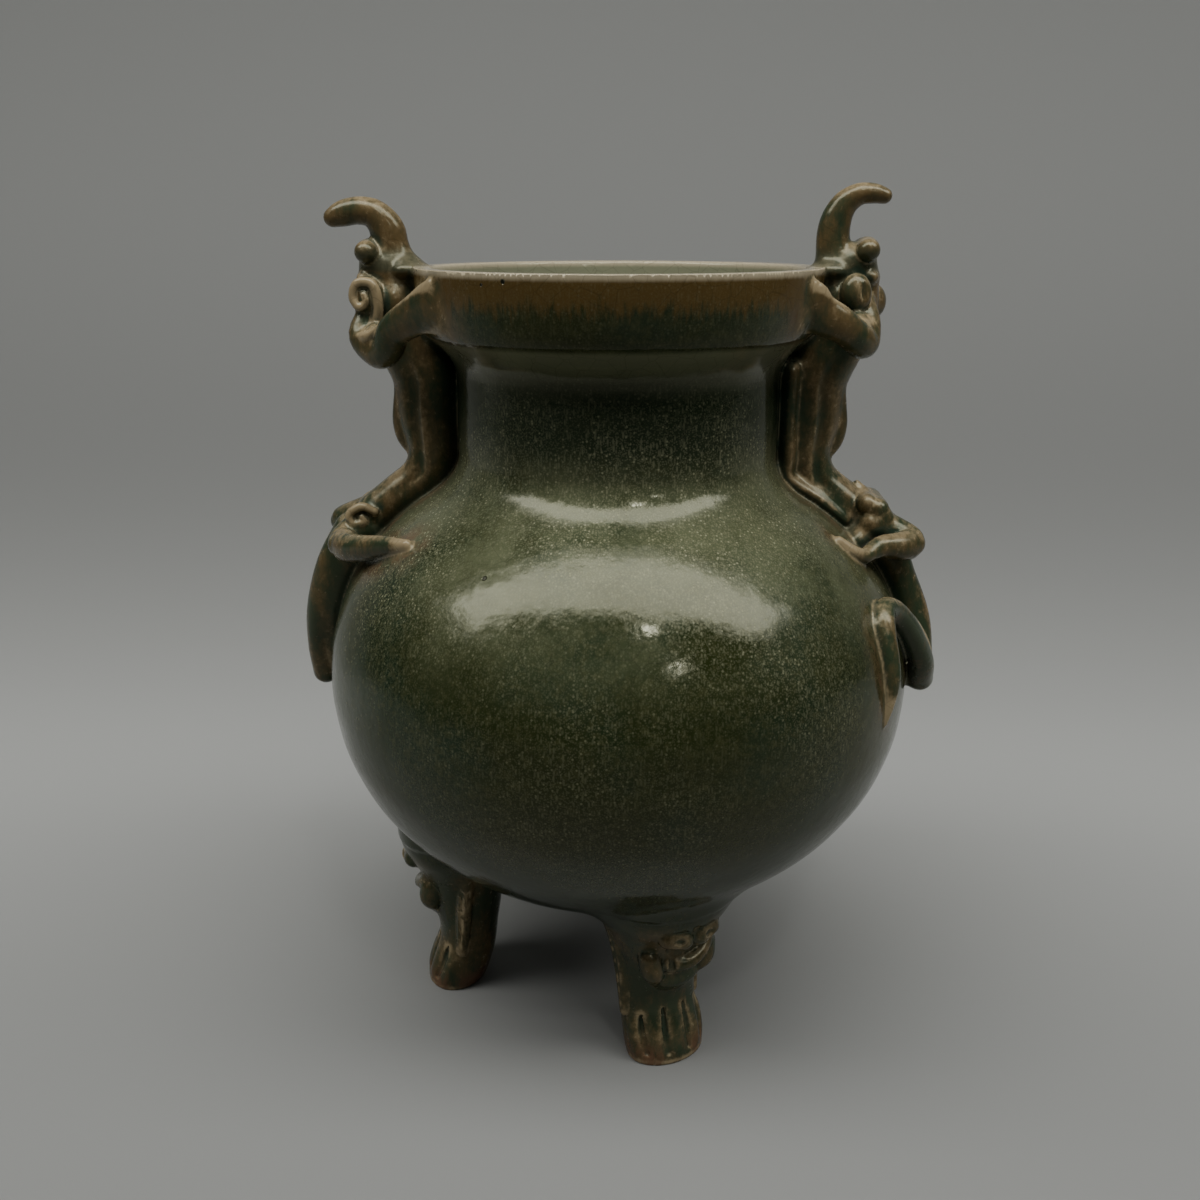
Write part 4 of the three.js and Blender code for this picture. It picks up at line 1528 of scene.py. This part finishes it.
    def band_tone(self, tone: Socket, streak: Socket) -> Socket:
        """Brown of the upper half of the band, the pale inner wall and the cream lip.

        Args:
            tone: Colour so far.
            streak: Random cloud drawn out upright.

        Returns:
            The colour.
        """
        glaze = self.glaze
        squares = self.math("ADD", self.times(self.x, self.x), self.times(self.y, self.y))
        outer = self.ramp(self.math("SQRT", squares), *self.THROUGH_WALL)
        fade = self.math("ADD", self.ramp(self.z, *self.BAND_FADE), self.swing(streak, 1.5))
        brown = self.times(self.ramp(fade, 0.2, 0.8), outer, self.ramp(self.z, *self.BAND_START))
        tone = self.mix(self.times(brown, 0.9), tone, glaze.band)
        inner = self.times(self.math("SUBTRACT", 1.0, outer), self.ramp(self.z, *self.MOUTH_START))
        tone = self.mix(self.times(inner, 0.9), tone, glaze.inner)
        worn = self.math("ADD", self.ramp(self.z, *self.LIP_START), self.swing(streak, 0.22))
        return self.mix(self.times(self.ramp(worn, 0.25, 1.0), 0.95), tone, glaze.lip)

    def figure_tone(self, ridge: Socket, hollow: Socket, wide: Socket, grain: Socket) -> Socket:
        """Colour of the modelled parts: mottled, ochre on ridges and as painted top light on upward
        faces, dark in hollows.

        Args:
            ridge: Stored measure of how much the surface is a ridge.
            hollow: Stored measure of narrow hollows.
            wide: Stored measure of wide hollows.
            grain: Fine random grain.

        Returns:
            The colour.
        """
        glaze = self.glaze
        mottle = self.noise(self.drawn_out(0.42), 105.0, 5.0, 0.68)
        worn = self.math("ADD", self.ramp(ridge, -0.05, 0.8), self.swing(grain, 0.8))
        normal = self.node("ShaderNodeNewGeometry").outputs["Normal"]
        facing = self.node("ShaderNodeSeparateXYZ", normal).outputs[2]
        legs = self.ramp(self.z, *self.LEGS_END)
        share = self.math("ADD", mottle, self.times(worn, 0.24))
        share = self.math("ADD", share, self.times(self.ramp(self.z, *self.HEADS_START), 0.07))
        tone = self.mix(self.ramp(share, 0.4, 0.68), glaze.moss, glaze.brown)
        # Painted top light: faces turned upwards are pushed towards the pale ochre
        painted_top_light = self.times(self.ramp(facing, 0.0, 0.95), 0.36)
        wear_and_top_light = self.math("ADD", self.math("ADD", worn, mottle), painted_top_light)
        wear_and_top_light = self.math("SUBTRACT", wear_and_top_light, self.times(legs, 0.04))
        tone = self.mix(self.times(self.ramp(wear_and_top_light, 0.56, 1.2), 0.9), tone, glaze.ochre)
        toes = self.times(self.ramp(self.z, *self.SOLES_END), self.ramp(mottle, 0.4, 0.6))
        tone = self.mix(self.times(toes, 0.8), tone, glaze.bare)
        broad = self.times(self.ramp(wide, 0.5, 1.0), 0.5)
        pooled = self.math("MAXIMUM", self.ramp(hollow, 0.18, 0.6), broad)
        root = self.times(self.span(self.HORN_START, self.HORN_END), self.ramp(mottle, 0.3, 0.55))
        pooled = self.math("MAXIMUM", pooled, self.times(root, 0.9))
        return self.mix(self.times(pooled, 0.7), tone, glaze.pool)

    def dotted(self, tone: Socket, figure: Socket) -> tuple[Socket, Number, Number]:
        """Pale specks and short streaks, faint crackle and the few open pits.

        Args:
            tone: Colour so far.
            figure: Distance to the nearest modelled part.

        Returns:
            The colour with the specks, the specks alone, and the pits alone.
        """
        glaze = self.glaze
        dots = self.math("MAXIMUM", self.times(self.specks(self.place, 2000.0, 0.62, 0.85), 0.55),
                         self.times(self.specks(self.drawn_out(0.32), 1300.0, 0.5, 0.5), 0.8))
        large = self.times(self.specks(self.place, 1000.0, 0.42, 0.34), 1.4)
        dots = self.math("MAXIMUM", dots, large)
        quiet = self.ramp(self.noise(self.place, 19.0, 3.0), 0.36, 0.6, 0.25, 1.0)
        shoulder = self.ramp(self.z, *self.SPECKS_START, 0.55, 1.0)
        below = self.ramp(self.z, *self.SPECKS_END, 0.22, 1.0)
        specks = self.times(dots, quiet, shoulder, below, self.ramp(figure, 0.5, 4.0))
        tone = self.mix(self.math("MULTIPLY", specks, 0.62, True), tone, glaze.speck)
        cracks = self.ramp(self.crackle(190.0), 0.03, 0.0)
        tone = self.mix(self.times(cracks, 0.22), tone, glaze.crack)
        pits = 0.0
        for x, y, z, size in glaze.pits:
            gap = self.node("ShaderNodeVectorMath", self.place, operation="DISTANCE")
            gap.inputs[1].default_value = (x, y, z)
            pits = self.math("MAXIMUM", pits, self.ramp(gap.outputs["Value"], size, size * 0.6))
        return self.mix(pits, tone, glaze.crack), specks, pits

    def finish(self, material: bpy.types.Material) -> bpy.types.Material:
        """Builds the colour, the gloss and the fine relief, and joins them to the shader.

        Args:
            material: The material that owns the tree.

        Returns:
            The same material.
        """
        hollow, wide, ridge = self.stored("hollow"), self.stored("wide"), self.stored("ridge")
        figure = self.stored("figure")
        off_belly = self.math("MAXIMUM", self.ramp(self.z, *self.MASKS_END),
                              self.ramp(self.z, *self.TAILS_START))
        on_figure = self.times(self.ramp(figure, 2.2, 0.4), off_belly)
        cloud = self.noise(self.place, 24.0, 4.0)
        grain = self.noise(self.place, 520.0, 3.0, 0.6)
        streak = self.noise(self.drawn_out(0.16), 700.0, 3.0, 0.65)
        tone = self.band_tone(self.wall_tone(cloud, grain, figure), streak)
        tone = self.mix(on_figure, tone, self.figure_tone(ridge, hollow, wide, grain))
        tone, specks, pits = self.dotted(tone, figure)

        shader = self.tree.nodes.new("ShaderNodeBsdfPrincipled")
        self.feed(shader.inputs["Base Color"], tone)
        rough = self.math("ADD", self.glaze.roughness, self.times(self.ramp(grain, 0.3, 0.8), 0.1))
        rough = self.math("ADD", rough, self.times(on_figure, 0.09))
        rough = self.math("ADD", rough, self.times(specks, 0.12))
        self.feed(shader.inputs["Roughness"], rough)
        shader.inputs["IOR"].default_value = self.glaze.ior
        shader.inputs["Specular Tint"].default_value = (*self.glaze.sheen, 1.0)
        height = self.math("ADD", self.noise(self.place, 52.0, 4.0), self.times(grain, 0.05))
        height = self.math("SUBTRACT", height, self.times(specks, 0.02))
        height = self.math("SUBTRACT", height, self.times(pits, 0.5))
        bump = self.node("ShaderNodeBump")
        bump.inputs["Strength"].default_value = self.glaze.relief
        bump.inputs["Distance"].default_value = MM
        self.feed(bump.inputs["Height"], height)
        self.feed(shader.inputs["Normal"], bump.outputs[0])
        out = self.tree.nodes.new("ShaderNodeOutputMaterial")
        self.tree.links.new(shader.outputs[0], out.inputs[0])
        material.diffuse_color = (*self.glaze.plain, 1.0)
        return material


@dataclass(frozen=True)
class Softbox:
    """One soft rectangular light.

    Attributes:
        name: Name of the light.
        place: Where it hangs.
        aim: Where it points.
        size: Width and height in metres.
        power: Watts.
    """

    name: str
    place: Spot
    aim: Spot
    size: tuple[float, float]
    power: float

    def hang(self) -> None:
        """Adds the light to the scene."""
        data = bpy.data.lights.new(self.name, "AREA")
        data.shape = "RECTANGLE"
        data.size, data.size_y = self.size
        data.energy = self.power
        lamp = bpy.data.objects.new(self.name, data)
        lamp.location = self.place
        run = Vector(self.aim) - Vector(self.place)
        lamp.rotation_euler = run.to_track_quat("-Z", "Y").to_euler()
        bpy.context.scene.collection.objects.link(lamp)


@dataclass(frozen=True)
class Studio:
    """Pale sweep, soft lights from above, and the camera of the photo.

    Attributes:
        lens: Focal length in millimetres, for a frame 36 mm wide.
        azimuth: Degrees that the camera stands round to the right.
        reach: Distance from the axis of the pot to the camera, along its view.
        height: Height of the camera.
        side: How far the camera is moved to its right.
        pitch: Degrees that it looks down.
        front: Where the floor ends in front.
        bend_start: Where it starts to curve up into the backdrop.
        bend: Radius of that curve.
        top: Height of the backdrop.
        half_width: Half of the width of floor and backdrop.
        painted_light_reach: Front and back of the stretch over which the floor's painted light and
            shade changes.
        painted_floor_light: Stops of that painted light and shade as place and grey, dark in front
            and brightest just behind the pot.
        tint: What the grey is multiplied by.
        lamps: The lights.
        room: Colour of the dim room.
        room_power: Its strength.
    """

    lens: float = 36.09
    azimuth: float = 3.0
    reach: float = 0.3429
    height: float = 0.2351
    side: float = -0.0051
    pitch: float = 17.36
    front: float = -1.6
    bend_start: float = 0.25
    bend: float = 0.55
    top: float = 2.4
    half_width: float = 2.2
    painted_light_reach: tuple[float, float] = (-0.4, 0.8)
    # Painted light and shade on the floor: dark in front, a pool of light just behind the pot,
    # dimmer further back
    painted_floor_light: tuple[tuple[float, float], ...] = (
        (0.05, 0.1), (0.27, 0.212), (0.45, 0.335), (0.78, 0.195), (1.0, 0.25),
    )
    tint: Colour = (1.0, 1.012, 0.955)
    lamps: tuple[Softbox, ...] = (
        Softbox("overhead", (0.02, -0.36, 1.2), (0.02, -0.36, 0.0), (2.9, 0.5), 21.5),
        Softbox("overhead_wide", (0.05, -0.35, 1.25), (0.05, -0.35, 0.0), (3.5, 0.72), 14.0),
        Softbox("small_front", (0.25, -0.83, 1.2), (0, 0, 0.15), (0.13, 0.09), 1.2),
        Softbox("small_right", (0.504, -0.957, 0.789), (0, 0, 0.15), (0.08, 0.05), 0.3),
    )
    room: Colour = (0.9, 0.95, 1.0)
    room_power: float = 0.05

    def camera(self) -> None:
        """Places the camera."""
        turn = math.radians(self.azimuth)
        across = Vector((math.cos(turn), math.sin(turn), 0))
        back = Vector((math.sin(turn), -math.cos(turn), 0))
        data = bpy.data.cameras.new("view")
        data.lens = self.lens
        data.sensor_width = 36.0
        data.clip_start = 0.01
        camera = bpy.data.objects.new("view", data)
        camera.location = back * self.reach + across * self.side + Vector((0, 0, self.height))
        camera.rotation_euler = (math.radians(90 - self.pitch), 0, turn)
        bpy.context.scene.collection.objects.link(camera)
        bpy.context.scene.camera = camera

    def sweep(self) -> None:
        """Makes the pale floor that curves up into the backdrop."""
        back = self.bend_start + self.bend
        line = [(self.front, 0.0), (self.bend_start, 0.0)]
        line += [(self.bend_start + self.bend * math.sin(k * math.pi / 32),
                  self.bend - self.bend * math.cos(k * math.pi / 32)) for k in range(1, 17)]
        line += [(back, self.top)]
        points = [(x, y, z) for y, z in line for x in (-self.half_width, self.half_width)]
        faces = [(2 * k, 2 * k + 1, 2 * k + 3, 2 * k + 2) for k in range(len(line) - 1)]
        mesh = bpy.data.meshes.new("sweep")
        mesh.from_pydata(points, [], faces)
        mesh.polygons.foreach_set("use_smooth", [True] * len(faces))
        mesh.materials.append(self.paper())
        piece = bpy.data.objects.new("sweep", mesh)
        bpy.context.scene.collection.objects.link(piece)

    def paper(self) -> bpy.types.Material:
        """Matt paper whose grey changes slowly from front to back as painted light and shade.

        Returns:
            The material.
        """
        paper = bpy.data.materials.new("paper")
        paper.use_nodes = True
        tree = paper.node_tree
        shader = tree.nodes["Principled BSDF"]
        split = tree.nodes.new("ShaderNodeSeparateXYZ")
        place = tree.nodes.new("ShaderNodeNewGeometry").outputs["Position"]
        tree.links.new(place, split.inputs[0])
        share = tree.nodes.new("ShaderNodeMapRange")
        tree.links.new(split.outputs[1], share.inputs[0])
        share.inputs[1].default_value, share.inputs[2].default_value = self.painted_light_reach
        tone = tree.nodes.new("ShaderNodeValToRGB")
        tree.links.new(share.outputs[0], tone.inputs[0])
        tone.color_ramp.interpolation = "EASE"
        tone.color_ramp.elements[1].position = self.painted_floor_light[-1][0]
        for _ in self.painted_floor_light[1:-1]:
            tone.color_ramp.elements.new(0.5)
        for stop, (along, grey) in zip(tone.color_ramp.elements, self.painted_floor_light):
            stop.position = along
            stop.color = (*(grey * part for part in self.tint), 1)
        tree.links.new(tone.outputs[0], shader.inputs["Base Color"])
        shader.inputs["Roughness"].default_value = 0.85
        return paper

    def light_all(self) -> None:
        """Hangs the long softboxes and the two small lamps by them, and lights the dim room."""
        for lamp in self.lamps:
            lamp.hang()
        world = bpy.data.worlds.new("room")
        world.use_nodes = True
        background = world.node_tree.nodes["Background"]
        background.inputs[0].default_value = (*self.room, 1)
        background.inputs[1].default_value = self.room_power
        bpy.context.scene.world = world

    def build(self) -> None:
        """Makes camera, sweep and lights."""
        self.camera()
        self.sweep()
        self.light_all()


def curled_foot(side: Side) -> list[Knot]:
    """Hind leg whose toes hook round in a crescent on the shoulder.

    Args:
        side: Which way round the pot it reaches.

    Returns:
        Its knots as climb, out, across, half width and half depth.
    """
    s = side.value
    return [
        (0.78, 8.6, s * 3.5, 5.0, 5.0), (0.70, 14.4, s * 8.0, 4.0, 4.7),
        (0.69, 12.2, s * 12.0, 3.6, 4.1), (0.70, 7.4, s * 15.2, 3.0, 3.2),
        (0.682, 3.6, s * 17.8, 2.5, 2.5), (0.674, 1.6, s * 20.2, 2.2, 2.1),
        (0.71, 0.9, s * 22.8, 1.8, 1.7), (0.765, 0.6, s * 23.8, 1.2, 1.2),
    ]


def straight_foot(side: Side) -> list[Knot]:
    """Hind leg that runs out in a long wedge.

    Args:
        side: Which way round the pot it reaches.

    Returns:
        Its knots as climb, out, across, half width and half depth.
    """
    s = side.value
    return [
        (0.76, 7.0, s * 3.5, 4.6, 4.8), (0.675, 8.8, s * 9.2, 4.2, 4.8),
        (0.665, 7.8, s * 16.0, 3.9, 4.6), (0.695, 5.2, s * 23.6, 3.2, 3.8),
        (0.74, 2.6, s * 31.0, 2.4, 2.8), (0.772, 1.0, s * 38.0, 1.4, 1.6),
    ]


def make_dragons(pot: Pot) -> list[Figure]:
    """The two dragons, each with its own horn, cheeks, feet and tail.

    Args:
        pot: The pot they climb.

    Returns:
        Their figures, right and left.
    """
    feet = (curled_foot(Side.CLOCKWISE), straight_foot(Side.COUNTER))
    right = Dragon(
        name="dragon_right", turn=0.0,
        horn=[(60.6, 222.0, 4.6, 6.0), (58.2, 229.5, 4.1, 4.7), (58.4, 235.5, 3.8, 4.2),
              (60.6, 240.2, 3.5, 3.5), (64.4, 242.7, 3.2, 2.9), (68.2, 242.9, 2.9, 2.6),
              (71.0, 242.3, 2.3, 2.1)],
        tail=[(78.4, 0.0, 150.5, 4.6), (82.0, -1.0, 138.0, 4.4), (86.4, -3.0, 123.0, 4.2),
              (88.6, -6.0, 113.4, 4.0), (88.9, -9.0, 108.8, 3.8)],
        cheeks=[(63.6, -9.2, 217.4, (4.2, 3.8, 5.4), False),
                (70.0, 4.8, 214.6, (4.2, 4.6, 5.0), False)],
        elbow=(0.05, 1.8), brow=(66.8, 228.4),
        haunch=[(70.6, 159.6, 6.6, 3.0), (73.8, 158.2, 6.9, 3.2), (75.4, 155.8, 6.9, 3.0),
                (72.6, 153.6, 6.8, 4.4)],
        tuft=[(69.8, 160.6, 2.9), (69.1, 162.8, 1.7), (68.5, 164.6, 0.6)],
        feet=feet, soft_seat=True, pot=pot,
    )
    left = Dragon(
        name="dragon_left", turn=180.0,
        horn=[(62.4, 223.0, 4.6, 6.2), (63.0, 229.5, 4.2, 5.1), (63.8, 233.8, 4.2, 4.8),
              (66.9, 237.6, 4.1, 4.0), (71.3, 238.6, 3.8, 3.7), (75.6, 237.9, 3.4, 3.5),
              (78.6, 236.8, 2.6, 2.6)],
        tail=[(79.0, 0.0, 149.0, 4.9), (85.4, -0.5, 138.0, 4.7), (90.0, -2.0, 124.0, 4.5),
              (92.1, -5.0, 111.0, 3.95), (92.0, -8.0, 100.8, 3.95)],
        cheeks=[(68.4, -7.0, 216.0, (4.6, 4.4, 5.4), True),
                (68.4, 7.0, 216.0, (4.6, 4.4, 5.4), True)],
        elbow=(-0.09, -1.8), brow=(68.6, 227.8),
        haunch=[(70.6, 154.4, 5.8, 2.8), (74.0, 153.8, 6.0, 3.1), (76.4, 151.8, 5.8, 2.7),
                (72.6, 150.6, 6.2, 3.6)],
        tuft=[(69.8, 155.6, 2.8), (68.4, 159.4, 2.0), (67.0, 162.8, 0.9)],
        feet=feet, soft_seat=False, pot=pot,
    )
    return [right.figure(), left.figure()]


def make_legs(count: int = 3, first: float = 183.0) -> list[Figure]:
    """The legs, evenly set on their ring.

    Args:
        count: Number of legs.
        first: Turn of the first, in degrees from +X.

    Returns:
        Their figures.
    """
    turns = [first + 360.0 / count * k for k in range(count)]
    return [BeastLeg(f"leg_{k}", turn).figure() for k, turn in enumerate(turns)]


def main() -> None:
    """Builds the censer and the studio round it, and reports the piece."""
    logging.basicConfig(level=logging.INFO, format="%(message)s")
    pot = Pot()
    figures = make_dragons(pot) + make_legs()
    for figure in figures:
        LOG.info("%s: %d forms", figure.name, len(figure.forms))
    detail = Detail.FULL
    piece = CenserMesh(Censer(pot, figures), detail).build("censer_glazed")
    piece.data.materials.append(CeladonGlaze().material())
    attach(piece, "root")
    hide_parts("censer")
    Studio().build()


if __name__ == "__main__":
    main()
